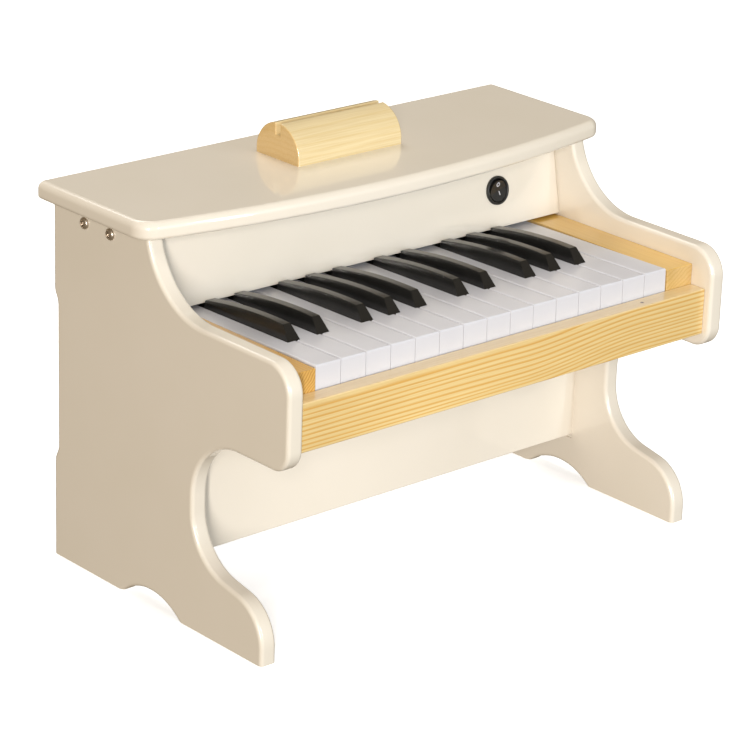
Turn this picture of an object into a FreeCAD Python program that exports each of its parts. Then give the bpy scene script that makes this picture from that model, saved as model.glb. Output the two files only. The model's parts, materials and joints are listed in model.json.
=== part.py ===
"""Toy upright piano with a working keyboard, as separate pieces in millimetres.

X runs to the player's right, Y to the back, Z up. The origin is on the floor, under
the middle of the piano. Every piece is written to parts/NAME.step.
"""
import FreeCAD, Part
import math
import os
from FreeCAD import Placement, Rotation, Vector

# Overall case
case_width = 409.4            # outside the two side panels
case_depth = 257.5            # arm noses to the rear edges of the side panels

# Side panels, with their heights stacked from the floor
side_thickness = 13.2
edge_round = 3.0              # eased edges
toe_upright = 11.0            # front of the toe below its curve
toe_radius = 33.2
foot_slope = 11.0             # degrees, top of the foot rises to the back
foot_run = 16.3               # straight part of that slope
knee_lower_radius = 41.6
knee_straight = 10.76         # upright run between the two knee arcs
knee_upper_radius = 46.8
arm_height = 75.6
sweep_rise = 48.3             # arm top to the lid's underside
sweep_radius = 60.3
sweep_ahead = 67.0            # start of the sweep in front of the fallboard's lower edge
nose_top_radius = 21.5
nose_bottom_radius = 16.2
knee_depth = 99.0             # nose to the deepest point of the knee curve
arch_chord = 63.3
arch_height = 11.2
arch_from_rear = 112.6        # rear edge to the middle of the arch
waist_depth = 4.0             # shallow recess in the rear edge
waist_below_lid = 71.5
waist_bottom_z = 79.0
waist_ramp = 14.0

# Lid
lid_overhang = 11.0           # past each side panel
lid_front_reach = 39.5        # middle of the front, ahead of the fallboard's lower edge
lid_bow = 24.0                # how far the middle stands in front of the ends
lid_thickness = 12.7
lid_corner_radius = 16.0
lid_rear_radius = 3.5         # plan corners at the back
lid_top_round = 2.5
lid_bottom_round = 3.0
lid_back_overhang = 3.7

# Music holder on the lid
holder_length = 97.2
holder_width = 47.4
holder_height = 26.6
holder_side = 6.0             # short upright part of each long side
holder_from_back = 56.6       # lid's back edge to the middle of the holder
holder_aside = 0.6            # right of the lid's middle
slot_width = 4.6
slot_depth = 9.0

# Panels between the sides
fallboard_lean = 10.8         # degrees, top further back than bottom
fallboard_lift = 0.4          # lower edge above the white fronts
fallboard_thickness = 9.0
knee_panel_back = 32.5        # deepest point of the knee curve to the panel's face
knee_panel_bottom_z = 36.7
knee_panel_thickness = 9.0
knee_groove_depth = 1.5       # groove in each side for the knee panel's end
knee_groove_gap = 0.3         # panel end to the bottom of the groove
knee_groove_run = 3.5         # groove below the panel's lower edge
rail_setback = 5.9            # rail front behind the arm noses
rail_thickness = 14.0
rail_above_arm = 11.4         # lower edges of arm and rail
rail_height = 34.8
key_bed_raise = 1.0           # underside of the key bed above the rail's lower edge
key_bed_thickness = 9.0
back_panel_thickness = 5.0
back_panel_inset = 8.9        # outer face in front of the rear edges of the sides
rear_room = 25.0              # key tails to the back panel
cheek_width = 26.0
cheek_show = 15.3             # above the rail
cheek_tail = 34.8             # behind the fallboard's lower edge
cheek_gap = 0.5               # cheek block to the outermost key

# Joinery
dowel_diameter = 6.0
dowel_in_side = 8.0
dowel_in_panel = 14.0
dowel_clearance = 0.05
dowel_end_gap = 0.5
holder_dowel_spacing = 50.0
rail_dowel_spacing = 18.0
bed_dowel_front = 29.6        # behind the white fronts
bed_dowel_rear = 43.0         # in front of the back panel
knee_dowel_low = 33.3         # above the knee panel's lower edge
knee_dowel_high = 31.5        # below the key bed
fall_dowel_low = 18.0         # along the leaning board, from its lower edge
fall_dowel_high = 46.0
cleat_width = 18.0
cleat_height = 18.0
cleat_gap = 0.6               # behind the top of the fallboard
side_screw_spacing = 29.2
side_screw_from_rear = 51.8   # rear edge to the middle of the pair
side_screw_drop = 9.0         # below the lid's underside
side_screw_head = 9.0
side_screw_head_height = 2.8
side_screw_shank = 4.0
side_screw_length = 24.0
screw_head = 5.6
screw_head_height = 1.8
screw_shank = 2.8
screw_clearance = 0.1
screw_crown = 0.6             # sloping part of a head's height
screw_tip = 0.6               # across the blunt point
back_screw_length = 14.0

# Keys
white_count = 15
key_gap = 0.5                 # between neighbouring keys
key_front_gap = 1.1           # rail to the white fronts
key_front_show = 16.8         # white fronts above the rail
key_rest_slope = 1.17         # degrees, fronts stand high at rest
key_travel = 1.8              # degrees, rest to fully pressed
key_skirt = 13.0              # depth of the side walls
key_front_skirt = 22.0        # depth of the front wall
key_wall = 1.6
key_nose_round = 1.4
white_head = 46.0             # front edge to the black keys
black_width = 10.5
black_draft = 2.1             # each flank leans in by this much at the crown
black_front_slant = 8.0
black_crown_height = 10.4
black_crown_back = 26.6       # crown behind the foot of the front face
black_rear_height = 5.2
black_rear_gap = 0.8          # cap end to the fallboard
black_tail_drop = 0.6         # tail top below the white tops
arm_width = 8.0               # solid hinge arm at the tail of each key
arm_lead = 16.0               # start of the arm in front of the pivot
arm_tail = 12.0               # behind the pivot
pivot_back = 48.8             # behind the fallboard's lower edge
pivot_depth = 7.0             # below the key tops
rod_diameter = 4.0
rod_clearance = 0.06
rod_overhang = 3.0
post_reach = 50.0             # pivot to the contact posts
post_size = 4.0
post_gap = 0.3

# Keyboard chassis and contacts
chassis_base = 2.5
chassis_wall = 2.5
chassis_end_gap = 0.3
chassis_front_gap = 3.0       # behind the inner face of the white fronts
chassis_front_height = 12.0
saddle_thickness = 2.0
saddle_length = 12.0
saddle_above_rod = 3.0
rib_reach = 5.0
tongue_gap = 0.4
tongue_thickness = 2.5
tongue_below_top = 5.3        # below the level key tops
tongue_back = 14.6            # behind the white fronts
tongue_beam = 5.0
tongue_beam_height = 11.0
stop_back = 49.6              # behind the white fronts
stop_width = 8.0
stop_felt_thickness = 3.0
stop_clearance = 0.2
rest_felt_width = 5.0
rest_felt_thickness = 2.0
rest_clearance = 0.05
board_thickness = 1.6
key_board_width = 50.0
key_board_lift = 3.0
key_board_rail = 3.0
rubber_thickness = 1.5
rubber_width = 24.0
dome_height = 5.5
dome_base = 9.0
dome_top = 6.0
chassis_screw_inset = 8.0
chassis_screw_length = 9.0

# Speaker
speaker_x = -95.0
speaker_above_bed = 53.5
speaker_diameter = 66.0
speaker_flange = 2.0
speaker_rim = 8.0
speaker_depth = 15.0
speaker_wall = 1.0
magnet_diameter = 32.0
magnet_height = 7.0
cone_neck = 16.0
cone_thickness = 0.8
cone_gap = 0.3
speaker_screw_inset = 3.0
speaker_screw_length = 6.0
sound_hole = 4.0
sound_ring_step = 8.0
sound_rings = 3

# Batteries
battery_x = 95.0
battery_above_bed = 53.5
cell_count = 3
cell_diameter = 14.2
cell_length = 49.0
cell_pitch = 15.0
cell_clearance = 0.3
cell_nub_diameter = 5.5
cell_nub_height = 1.2
tray_wall = 1.6
tray_flange = 4.0
tray_flange_thickness = 2.0
contact_room = 3.6
contact_thickness = 0.5
contact_size = 9.0
door_thickness = 3.0
door_gap = 0.3

# Main circuit board
main_board_length = 80.0
main_board_height = 46.0
main_board_above_bed = 55.5
spacer_diameter = 6.0
spacer_length = 7.0
spacer_inset = 5.0
chip_size = 12.0
chip_height = 2.0
capacitor_diameter = 6.0
capacitor_height = 9.0
socket_length = 10.0
socket_width = 5.0
socket_height = 6.0

# Rocker switch in the fallboard
switch_from_side = 61.8       # to the inner face of the right panel
switch_up = 28.2              # along the board, above its lower edge
switch_turn = 15.0            # degrees, turned in its hole
bezel_diameter = 21.6
bezel_height = 2.0
bezel_round = 0.8
barrel_diameter = 19.6
barrel_depth = 15.0
barrel_clearance = 0.2
rocker_diameter = 16.0
rocker_clearance = 0.7
rocker_pocket = 9.0
rocker_pivot_depth = 2.0      # below the bezel's front face
rocker_half_throw = 8.0       # degrees each side of the middle
rocker_crease = 10.0          # degrees, each half slopes to the middle
rocker_rise = 2.6             # ends above the pivot before the slope
rocker_keel = 3.0
rocker_pin = 2.0
rocker_pin_length = 1.6
pin_clearance = 0.05
terminal_width = 4.8
terminal_thickness = 0.8
terminal_length = 8.0
terminal_spacing = 8.0

# Leads
lead_diameter = 1.6
lead_run = 8.0                # straight run out of a terminal before the first bend
lead_inset = 3.0              # from the board's end to the nearest lead
lead_bend = 0.45              # part of the shorter run that each bend takes up

# Places worked out from the sizes above: across, then front to back, then upwards
outer_x = case_width / 2
inner_x = outer_x - side_thickness
cheek_inner_x = inner_x - cheek_width
keys_half = cheek_inner_x - cheek_gap
white_pitch = 2 * keys_half / white_count
lid_length = 2 * (outer_x + lid_overhang)
switch_x = inner_x - switch_from_side

nose_y = -(case_depth + lid_back_overhang) / 2
rear_y = nose_y + case_depth
lid_back_y = rear_y + lid_back_overhang
knee_y = nose_y + knee_depth
rail_front_y = nose_y + rail_setback
rail_back_y = rail_front_y + rail_thickness
key_front_y = rail_back_y + key_front_gap
back_outer_y = rear_y - back_panel_inset
back_inner_y = back_outer_y - back_panel_thickness
pivot_y = back_inner_y - rear_room - arm_tail
fallboard_bottom_y = pivot_y - pivot_back
arm_start_y = pivot_y - arm_lead
post_y = pivot_y - post_reach
black_front_y = key_front_y + white_head
black_rear_y = fallboard_bottom_y - black_rear_gap
white_tongue_y = key_front_y + tongue_back
stop_front_y = key_front_y + stop_back
cheek_rear_y = fallboard_bottom_y + cheek_tail
knee_panel_front_y = knee_y + knee_panel_back
arch_middle_y = rear_y - arch_from_rear
holder_middle_y = lid_back_y - holder_from_back
side_screw_middle_y = rear_y - side_screw_from_rear
lid_depth = lid_back_y - fallboard_bottom_y + lid_front_reach

foot_tilt = math.radians(foot_slope)
foot_rise = (toe_radius + knee_lower_radius) * math.cos(foot_tilt) + foot_run * math.sin(foot_tilt)
knee_low_z = toe_upright + foot_rise
arm_bottom_z = knee_low_z + knee_straight + knee_upper_radius
arm_top_z = arm_bottom_z + arm_height
lid_underside_z = arm_top_z + sweep_rise
lid_top_z = lid_underside_z + lid_thickness
waist_top_z = lid_underside_z - waist_below_lid
rail_bottom_z = arm_bottom_z + rail_above_arm
rail_top_z = rail_bottom_z + rail_height
cheek_top_z = rail_top_z + cheek_show
key_front_top_z = rail_top_z + key_front_show
fallboard_bottom_z = key_front_top_z + fallboard_lift
bed_bottom_z = rail_bottom_z + key_bed_raise
bed_top_z = bed_bottom_z + key_bed_thickness
speaker_z = bed_top_z + speaker_above_bed
battery_z = bed_top_z + battery_above_bed
main_board_z = bed_top_z + main_board_above_bed
slope = math.radians(key_rest_slope)
key_reach = pivot_y - key_front_y
pivot_z = key_front_top_z - pivot_depth * math.cos(slope) - key_reach * math.sin(slope)
key_top = pivot_z + pivot_depth
skirt_bottom = key_top - key_skirt
tongue_top_z = key_top - tongue_below_top
base_top_z = bed_top_z + chassis_base
board_top_z = base_top_z + key_board_lift + board_thickness
dome_top_z = board_top_z + rubber_thickness + dome_height
lean = math.radians(fallboard_lean)
fallboard_top_y = fallboard_bottom_y + (lid_underside_z - fallboard_bottom_z) * math.tan(lean)
fallboard_level = fallboard_thickness / math.cos(lean)
cleat_front_y = fallboard_top_y + fallboard_level + cleat_gap


def box(x0, x1, y0, y1, z0, z1):
    """Block between two corners."""
    return Part.makeBox(x1 - x0, y1 - y0, z1 - z0, Vector(x0, y0, z0))


def rod(diameter, start, end):
    """Round bar between two points."""
    axis = end - start
    return Part.makeCylinder(diameter / 2, axis.Length, start, axis)


def arc(centre_y, centre_z, radius, start, end):
    """Arc in the YZ plane between two angles in degrees."""
    turns = [math.radians(a) for a in (start, (start + end) / 2, end)]
    points = [Vector(0, centre_y + radius * math.cos(t), centre_z + radius * math.sin(t)) for t in turns]
    return Part.Arc(*points).toShape()


def outline(items):
    """Closed wire through arcs and corner points, joined by straight runs."""
    ends = [(i, i) if isinstance(i, Vector) else (i.firstVertex().Point, i.lastVertex().Point) for i in items]
    edges = []
    for item, (start, _), (_, last) in zip(items, ends, [ends[-1]] + ends[:-1]):
        if start.distanceToPoint(last) > 1e-6:
            edges.append(Part.makeLine(last, start))
        if not isinstance(item, Vector):
            edges.append(item)
    return Part.Wire(edges)


def across(wire, x0, x1):
    """Solid made by carrying a YZ outline from x0 to x1."""
    face = Part.Face(wire)
    face.translate(Vector(x0, 0, 0))
    return face.extrude(Vector(x1 - x0, 0, 0))


def yz(y, z):
    return Vector(0, y, z)


def ramp(z, direction):
    """Two tangent arcs of a waist ramp, read downwards, going in (-1) or out (1) at height z."""
    half = waist_ramp / 2
    dip = waist_depth / 2
    radius = (half ** 2 + dip ** 2) / (2 * dip)
    swing = math.degrees(math.asin(half / radius))
    full_y = rear_y - radius
    waist_y = rear_y - waist_depth + radius
    if direction < 0:
        return [arc(full_y, z + half, radius, 0, -swing), arc(waist_y, z - half, radius, 180 - swing, 180)]
    return [arc(waist_y, z + half, radius, 180, 180 + swing), arc(full_y, z - half, radius, swing, 0)]


def side_outline():
    """Side panel seen from the left: foot, arch, toe, knee, arm and sweep."""
    arch_radius = (arch_chord ** 2 / 4 + arch_height ** 2) / (2 * arch_height)
    arch_half = math.degrees(math.asin(arch_chord / 2 / arch_radius))
    curves = toe_radius + knee_lower_radius
    toe_y = knee_y - curves * (1 - math.sin(foot_tilt)) - foot_run * math.cos(foot_tilt)
    sweep_centre_z = arm_top_z + sweep_radius
    sweep_end = math.degrees(math.asin((lid_underside_z - sweep_centre_z) / sweep_radius))
    items = [
        yz(rear_y, 0),
        arc(arch_middle_y, arch_height - arch_radius, arch_radius, 90 - arch_half, 90 + arch_half),
        yz(toe_y, 0),
        arc(toe_y + toe_radius, toe_upright, toe_radius, 180, 90 + foot_slope),
        arc(knee_y - knee_lower_radius, knee_low_z, knee_lower_radius, foot_slope - 90, 0),
        arc(knee_y - knee_upper_radius, arm_bottom_z - knee_upper_radius, knee_upper_radius, 0, 90),
        arc(nose_y + nose_bottom_radius, arm_bottom_z + nose_bottom_radius, nose_bottom_radius, 270, 180),
        arc(nose_y + nose_top_radius, arm_top_z - nose_top_radius, nose_top_radius, 180, 90),
        arc(fallboard_bottom_y - sweep_ahead, sweep_centre_z, sweep_radius, -90, sweep_end),
        yz(rear_y, lid_underside_z),
    ]
    return outline(items + ramp(waist_top_z, -1) + ramp(waist_bottom_z, 1))


def rim_edges(shape, planes, axis, skip=None):
    """Edges that lie in one of the given planes, without those that skip holds for."""
    found = []
    for edge in shape.Edges:
        low = getattr(edge.BoundBox, axis + "Min")
        high = getattr(edge.BoundBox, axis + "Max")
        level = any(abs(low - p) < 1e-4 and abs(high - p) < 1e-4 for p in planes)
        if level and not (skip and skip(edge.BoundBox)):
            found.append(edge)
    return found


def dowel_places():
    """Centres of the dowels on the inner face of a side panel, as (y, z)."""
    rail_y = (rail_front_y + rail_back_y) / 2
    rail_z = rail_bottom_z + rail_height / 2
    bed_z = bed_bottom_z + key_bed_thickness / 2
    knee_mid_y = knee_panel_front_y + knee_panel_thickness / 2
    places = {
        "front_rail": [(rail_y, rail_z + s * rail_dowel_spacing / 2) for s in (-1, 1)],
        "key_bed": [(key_front_y + bed_dowel_front, bed_z), (back_inner_y - bed_dowel_rear, bed_z)],
        "knee_panel": [(knee_mid_y, knee_panel_bottom_z + knee_dowel_low),
                       (knee_mid_y, bed_bottom_z - knee_dowel_high)],
        "fallboard": [fall_point(up, fallboard_thickness / 2) for up in (fall_dowel_low, fall_dowel_high)],
    }
    return places


def fall_point(up, depth):
    """(y, z) of a point up the leaning fallboard and some depth behind its face."""
    y = fallboard_bottom_y + up * math.sin(lean) + depth * math.cos(lean)
    z = fallboard_bottom_z + up * math.cos(lean) - depth * math.sin(lean)
    return y, z


def side_dowels(places, diameter, end_gap):
    """Bars through both side joints at each place, shortened by end_gap at each end."""
    bars = []
    for y, z in places:
        for side in (-1, 1):
            start = Vector(side * (inner_x - dowel_in_panel + end_gap), y, z)
            end = Vector(side * (inner_x + dowel_in_side - end_gap), y, z)
            bars.append(rod(diameter, start, end))
    return bars


def holder_dowels(diameter, end_gap):
    bars = []
    for side in (-1, 1):
        x = holder_aside + side * holder_dowel_spacing / 2
        y = holder_middle_y - holder_width / 4
        low = Vector(x, y, lid_top_z - dowel_in_side + end_gap)
        high = Vector(x, y, lid_top_z + dowel_in_panel - end_gap)
        bars.append(rod(diameter, low, high))
    return bars


def bored(shape, node):
    """Shape with the dowel holes of its own ends."""
    return shape.cut(side_dowels(dowel_places()[node], dowel_diameter + 2 * dowel_clearance, 0))


def side_screw_axes():
    """Head seat and inward direction of the four screws under the lid."""
    z = lid_underside_z - side_screw_drop
    ys = [side_screw_middle_y + s * side_screw_spacing / 2 for s in (-1, 1)]
    return [(Vector(side * outer_x, y, z), Vector(-side, 0, 0)) for side in (-1, 1) for y in ys]


def screw_holes(axes, diameter, length):
    return [Part.makeCylinder(diameter / 2, length, seat, way) for seat, way in axes]


def pan_screw(seat, way, head, head_height, shank, length):
    """Pan-head screw whose head sits on seat and whose shank runs along way to a point."""
    crown = Part.makeCylinder(head / 2, head_height, Vector(0, 0, -head_height))
    crown = crown.makeChamfer(screw_crown * head_height, [e for e in crown.Edges if e.BoundBox.ZMax < -1e-4])
    stem = Part.makeCylinder(shank / 2, length - shank)
    tip = Part.makeCone(shank / 2, screw_tip / 2, shank, Vector(0, 0, length - shank))
    solid = crown.fuse([stem, tip]).removeSplitter()
    solid.Placement = Placement(seat, Rotation(Vector(0, 0, 1), way))
    return solid


def side_panel(side):
    x0 = inner_x if side > 0 else -outer_x
    panel = across(side_outline(), x0, x0 + side_thickness)

    def flat_ends(bounds):
        at_floor = bounds.ZMax < 1e-4
        at_lid = bounds.ZMin > lid_underside_z - 1e-4
        return at_floor or at_lid

    panel = panel.makeFillet(edge_round, rim_edges(panel, (x0, x0 + side_thickness), "X", flat_ends))
    places = [p for spots in dowel_places().values() for p in spots]
    holes = side_dowels(places, dowel_diameter + 2 * dowel_clearance, 0)
    shank_hole = side_screw_shank + 2 * screw_clearance
    holes += screw_holes(side_screw_axes(), shank_hole, side_screw_length)
    reach = inner_x + knee_groove_depth
    groove = box(-reach, reach, knee_panel_front_y, knee_panel_front_y + knee_panel_thickness,
                 knee_panel_bottom_z - knee_groove_run, bed_bottom_z)
    return panel.cut(holes + [groove])


def lid_outline():
    """Plan of the lid: straight back, rounded corners and a bowed front."""
    half = lid_length / 2
    radius = (half ** 2 + lid_bow ** 2) / (2 * lid_bow)
    front_y = lid_back_y - lid_depth
    bow_y = front_y + radius
    reach = radius - lid_corner_radius
    corner_x = half - lid_corner_radius
    corner_y = bow_y - math.sqrt(reach ** 2 - corner_x ** 2)
    tangent_x = corner_x * radius / reach
    tangent_y = bow_y + (corner_y - bow_y) * radius / reach
    swing = math.atan2(tangent_y - corner_y, tangent_x - corner_x) / 2
    middle_x = corner_x + lid_corner_radius * math.cos(swing)
    middle_y = corner_y + lid_corner_radius * math.sin(swing)

    def corner(side):
        points = [Vector(side * half, corner_y, 0), Vector(side * middle_x, middle_y, 0),
                  Vector(side * tangent_x, tangent_y, 0)]
        return Part.Arc(*points[::side]).toShape()

    def rear_corner(side):
        inset = lid_rear_radius * (1 - math.sqrt(0.5))
        points = [Vector(side * (half - lid_rear_radius), lid_back_y, 0),
                  Vector(side * (half - inset), lid_back_y - inset, 0),
                  Vector(side * half, lid_back_y - lid_rear_radius, 0)]
        return Part.Arc(*points[::side]).toShape()

    bow = Part.Arc(Vector(tangent_x, tangent_y, 0), Vector(0, front_y, 0), Vector(-tangent_x, tangent_y, 0))
    return outline([rear_corner(-1), rear_corner(1), corner(1), bow.toShape(), corner(-1)])


def lid_panel():
    face = Part.Face(lid_outline())
    face.translate(Vector(0, 0, lid_underside_z))
    lid = face.extrude(Vector(0, 0, lid_thickness))
    lid = lid.makeFillet(lid_top_round, rim_edges(lid, (lid_top_z,), "Z"))
    lid = lid.makeFillet(lid_bottom_round, rim_edges(lid, (lid_underside_z,), "Z"))
    return lid.cut(holder_dowels(dowel_diameter + 2 * dowel_clearance, 0))


def music_holder():
    """Half-round block with a slot along its crown for a card or sheet."""
    half = holder_width / 2
    rise = holder_height - holder_side
    base = lid_top_z
    shoulder = base + holder_side
    crown = Part.Arc(yz(holder_middle_y + half, shoulder), yz(holder_middle_y, shoulder + rise),
                     yz(holder_middle_y - half, shoulder)).toShape()
    corners = [yz(holder_middle_y - half, base), yz(holder_middle_y + half, base)]
    left = holder_aside - holder_length / 2
    block = across(outline(corners + [crown]), left, left + holder_length)
    slot_half = slot_width / 2
    slot = box(-holder_length, holder_length, holder_middle_y - slot_half, holder_middle_y + slot_half,
               base + holder_height - slot_depth, base + 2 * holder_height)
    return block.cut([slot] + holder_dowels(dowel_diameter + 2 * dowel_clearance, 0))


def fallboard():
    """Leaning board over the keys, cut level at the bottom and under the lid, with the switch hole."""
    corners = [yz(fallboard_bottom_y, fallboard_bottom_z),
               yz(fallboard_bottom_y + fallboard_level, fallboard_bottom_z),
               yz(fallboard_top_y + fallboard_level, lid_underside_z), yz(fallboard_top_y, lid_underside_z)]
    board = across(outline(corners), -inner_x, inner_x)
    hole = Part.makeCylinder(barrel_diameter / 2 + barrel_clearance, 4 * fallboard_thickness,
                             Vector(0, 0, -2 * fallboard_thickness))
    hole.Placement = switch_placement()
    return bored(board.cut(hole), "fallboard")


def knee_panel():
    reach = inner_x + knee_groove_depth - knee_groove_gap
    rear = knee_panel_front_y + knee_panel_thickness
    board = box(-reach, reach, knee_panel_front_y, rear, knee_panel_bottom_z, bed_bottom_z)
    return bored(board, "knee_panel")


def front_rail():
    board = box(-inner_x, inner_x, rail_front_y, rail_back_y, rail_bottom_z, rail_top_z)
    return bored(board, "front_rail")


def key_bed():
    board = box(-inner_x, inner_x, rail_back_y, back_inner_y, bed_bottom_z, bed_top_z)
    holes = screw_holes(chassis_screw_axes(), screw_shank + 2 * screw_clearance, chassis_screw_length)
    holes += screw_holes(back_screw_axes()[:4], screw_shank + 2 * screw_clearance, back_screw_length)
    return bored(board.cut(holes), "key_bed")


def cheek_block(side):
    x0 = cheek_inner_x if side > 0 else -inner_x
    return box(x0, x0 + inner_x - cheek_inner_x, rail_back_y, cheek_rear_y, bed_top_z, cheek_top_z)


def lid_cleats():
    """Two battens under the lid that take the side screws and the back panel's upper screws."""
    z0 = lid_underside_z - cleat_height
    cleats = []
    for side in (-1, 1):
        x0 = inner_x - cleat_width if side > 0 else -inner_x
        cleats.append(box(x0, x0 + cleat_width, cleat_front_y, back_inner_y, z0, lid_underside_z))
    holes = screw_holes(side_screw_axes(), side_screw_shank + 2 * screw_clearance, side_screw_length)
    holes += screw_holes(back_screw_axes()[4:], screw_shank + 2 * screw_clearance, back_screw_length)
    return Part.makeCompound([c.cut(holes) for c in cleats])


def back_screw_axes():
    """Four screws into the key bed and two into the lid cleats, driven from behind."""
    low = bed_bottom_z + key_bed_thickness / 2
    high = lid_underside_z - cleat_height / 2
    reach = inner_x - cleat_width / 2
    places = [(x, low) for x in (-reach, -reach / 3, reach / 3, reach)] + [(-reach, high), (reach, high)]
    return [(Vector(x, back_outer_y, z), Vector(0, -1, 0)) for x, z in places]


def chassis_screw_axes():
    """Six screws through the chassis base into the key bed, in pairs."""
    reach = keys_half - chassis_screw_inset
    front = white_tongue_y + tongue_beam + chassis_screw_inset
    rear = pivot_y - saddle_length / 2 - chassis_screw_inset
    spots = [(x, y) for x in (-reach, 0, reach) for y in (front, rear)]
    return [(Vector(x, y, base_top_z), Vector(0, 0, -1)) for x, y in spots]


def speaker_screw_axes():
    reach = (speaker_diameter / 2 - speaker_screw_inset) / math.sqrt(2)
    spots = [(sx * reach, sz * reach) for sx in (-1, 1) for sz in (-1, 1)]
    seat_y = back_inner_y - speaker_flange
    return [(Vector(speaker_x + dx, seat_y, speaker_z + dz), Vector(0, 1, 0)) for dx, dz in spots]


def sound_holes():
    """Rings of drilled holes in front of the speaker: one, six, twelve and so on."""
    holes = []
    for ring in range(sound_rings + 1):
        count = max(1, 6 * ring)
        for i in range(count):
            turn = 2 * math.pi * i / count
            x = speaker_x + ring * sound_ring_step * math.cos(turn)
            z = speaker_z + ring * sound_ring_step * math.sin(turn)
            holes.append(rod(sound_hole, Vector(x, back_inner_y - 1, z), Vector(x, back_outer_y + 1, z)))
    return holes


def tray_size():
    """Inside length and height of the battery tray."""
    return cell_length + 2 * contact_room, cell_count * cell_pitch


def battery_opening(grow, y0, y1):
    """Block over the battery tray's outside, larger all round by grow."""
    length, height = tray_size()
    half_x = length / 2 + tray_wall + grow
    half_z = height / 2 + tray_wall + grow
    return box(battery_x - half_x, battery_x + half_x, y0, y1, battery_z - half_z, battery_z + half_z)


def back_panel():
    panel = box(-inner_x, inner_x, back_inner_y, back_outer_y, bed_bottom_z, lid_underside_z)
    holes = sound_holes() + [battery_opening(door_gap, back_inner_y - 1, back_outer_y + 1)]
    holes += screw_holes(back_screw_axes(), screw_shank + 2 * screw_clearance, 2 * back_panel_thickness)
    holes += screw_holes(speaker_screw_axes(), screw_shank + 2 * screw_clearance, speaker_screw_length)
    return panel.cut(holes)


def key_layout():
    """Names and sizes of all keys from the left: kind, head span and tail span in x."""
    groups = {"C": 3, "D": 3, "E": 3, "F": 4, "G": 4, "A": 4, "B": 4}
    letters = "CDEFGAB"
    slot = black_width + key_gap
    keys = []
    left = -keys_half
    for i in range(white_count):
        letter = letters[i % 7]
        whites = groups[letter]
        place = letters.index(letter) if whites == 3 else letters.index(letter) - 3
        single = i == white_count - 1 and letter in "CF"
        tail = white_pitch if single else (whites * white_pitch - (whites - 1) * slot) / whites
        group_left = left - place * white_pitch
        tail_left = group_left + place * (tail + slot)
        keys.append(("white", (left, left + white_pitch), (tail_left, tail_left + tail)))
        if place < whites - 1 and not single:
            span = (tail_left + tail, tail_left + tail + slot)
            keys.append(("black", span, span))
        left += white_pitch
    return keys


def trimmed(span):
    """Span less half the gap to each neighbour."""
    return span[0] + key_gap / 2, span[1] - key_gap / 2


def hinge_arm(tail):
    """Solid arm at the tail of a key, bored for the pivot rod."""
    middle = (tail[0] + tail[1]) / 2
    x0, x1 = middle - arm_width / 2, middle + arm_width / 2
    end = pivot_y + arm_tail
    top = key_top - 2 * black_tail_drop
    arm = box(x0, x1, arm_start_y - key_wall, end, skirt_bottom, top)
    corner = key_skirt / 3
    cut = outline([yz(end - corner, top), yz(end, top), yz(end, top - corner)])
    width = rod_diameter + 2 * rod_clearance
    bore = rod(width, Vector(x0 - 1, pivot_y, pivot_z), Vector(x1 + 1, pivot_y, pivot_z))
    return arm.cut([across(cut, x0 - 1, x1 + 1), bore])


def contact_post(tail):
    """Post under a key that presses its rubber dome, in the level frame of the key."""
    middle = (tail[0] + tail[1]) / 2
    half = post_size / 2
    lift = (pivot_y - post_y) * math.sin(slope)
    bottom = dome_top_z + post_gap - lift + half * math.sin(slope)
    return box(middle - half, middle + half, post_y - half, post_y + half, bottom, key_top - key_wall)


def at_rest(key):
    """Key turned from level to its rest slope about the pivot rod."""
    key.rotate(Vector(0, pivot_y, pivot_z), Vector(1, 0, 0), -key_rest_slope)
    return key


def white_key(head, tail):
    """Moulded white key: hollow head, narrow tail beside the black keys, hinge arm and post."""
    h0, h1 = trimmed(head)
    t0, t1 = trimmed(tail)
    notch_y = black_front_y - key_gap
    front = box(h0, h1, key_front_y, notch_y, skirt_bottom, key_top)
    skirt = box(h0, h1, key_front_y, key_front_y + key_wall, key_top - key_front_skirt, key_top)
    rear = box(t0, t1, notch_y - key_wall, arm_start_y, skirt_bottom, key_top)
    body = front.fuse([skirt, rear]).removeSplitter()

    def not_nose(bounds):
        return bounds.YMin > key_front_y + 1e-4

    body = body.makeFillet(key_nose_round, rim_edges(body, (key_top,), "Z", not_nose))
    low, high = skirt_bottom - 1, key_top - key_wall
    hollow = box(h0 + key_wall, h1 - key_wall, key_front_y + key_wall, notch_y - key_wall, low, high)
    passage = box(t0 + key_wall, t1 - key_wall, notch_y - 3 * key_wall, arm_start_y - key_wall, low, high)
    key = body.cut([hollow, passage]).fuse([hinge_arm(tail), contact_post(tail)]).removeSplitter()
    return at_rest(key)


def black_profile():
    """Side view of the raised cap: slanted front, crowned top falling to the back."""
    crown_y = black_front_y + black_crown_back
    radius = (black_rear_y - crown_y) ** 2 / (2 * (black_crown_height - black_rear_height))
    top_front_y = black_front_y + black_front_slant

    def crown(y):
        return key_top + black_crown_height - (y - crown_y) ** 2 / (2 * radius)

    top = Part.Arc(yz(black_rear_y, crown(black_rear_y)), yz(crown_y, crown(crown_y)),
                   yz(top_front_y, crown(top_front_y))).toShape()
    return outline([top, yz(black_front_y, key_top), yz(black_rear_y, key_top)])


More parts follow.
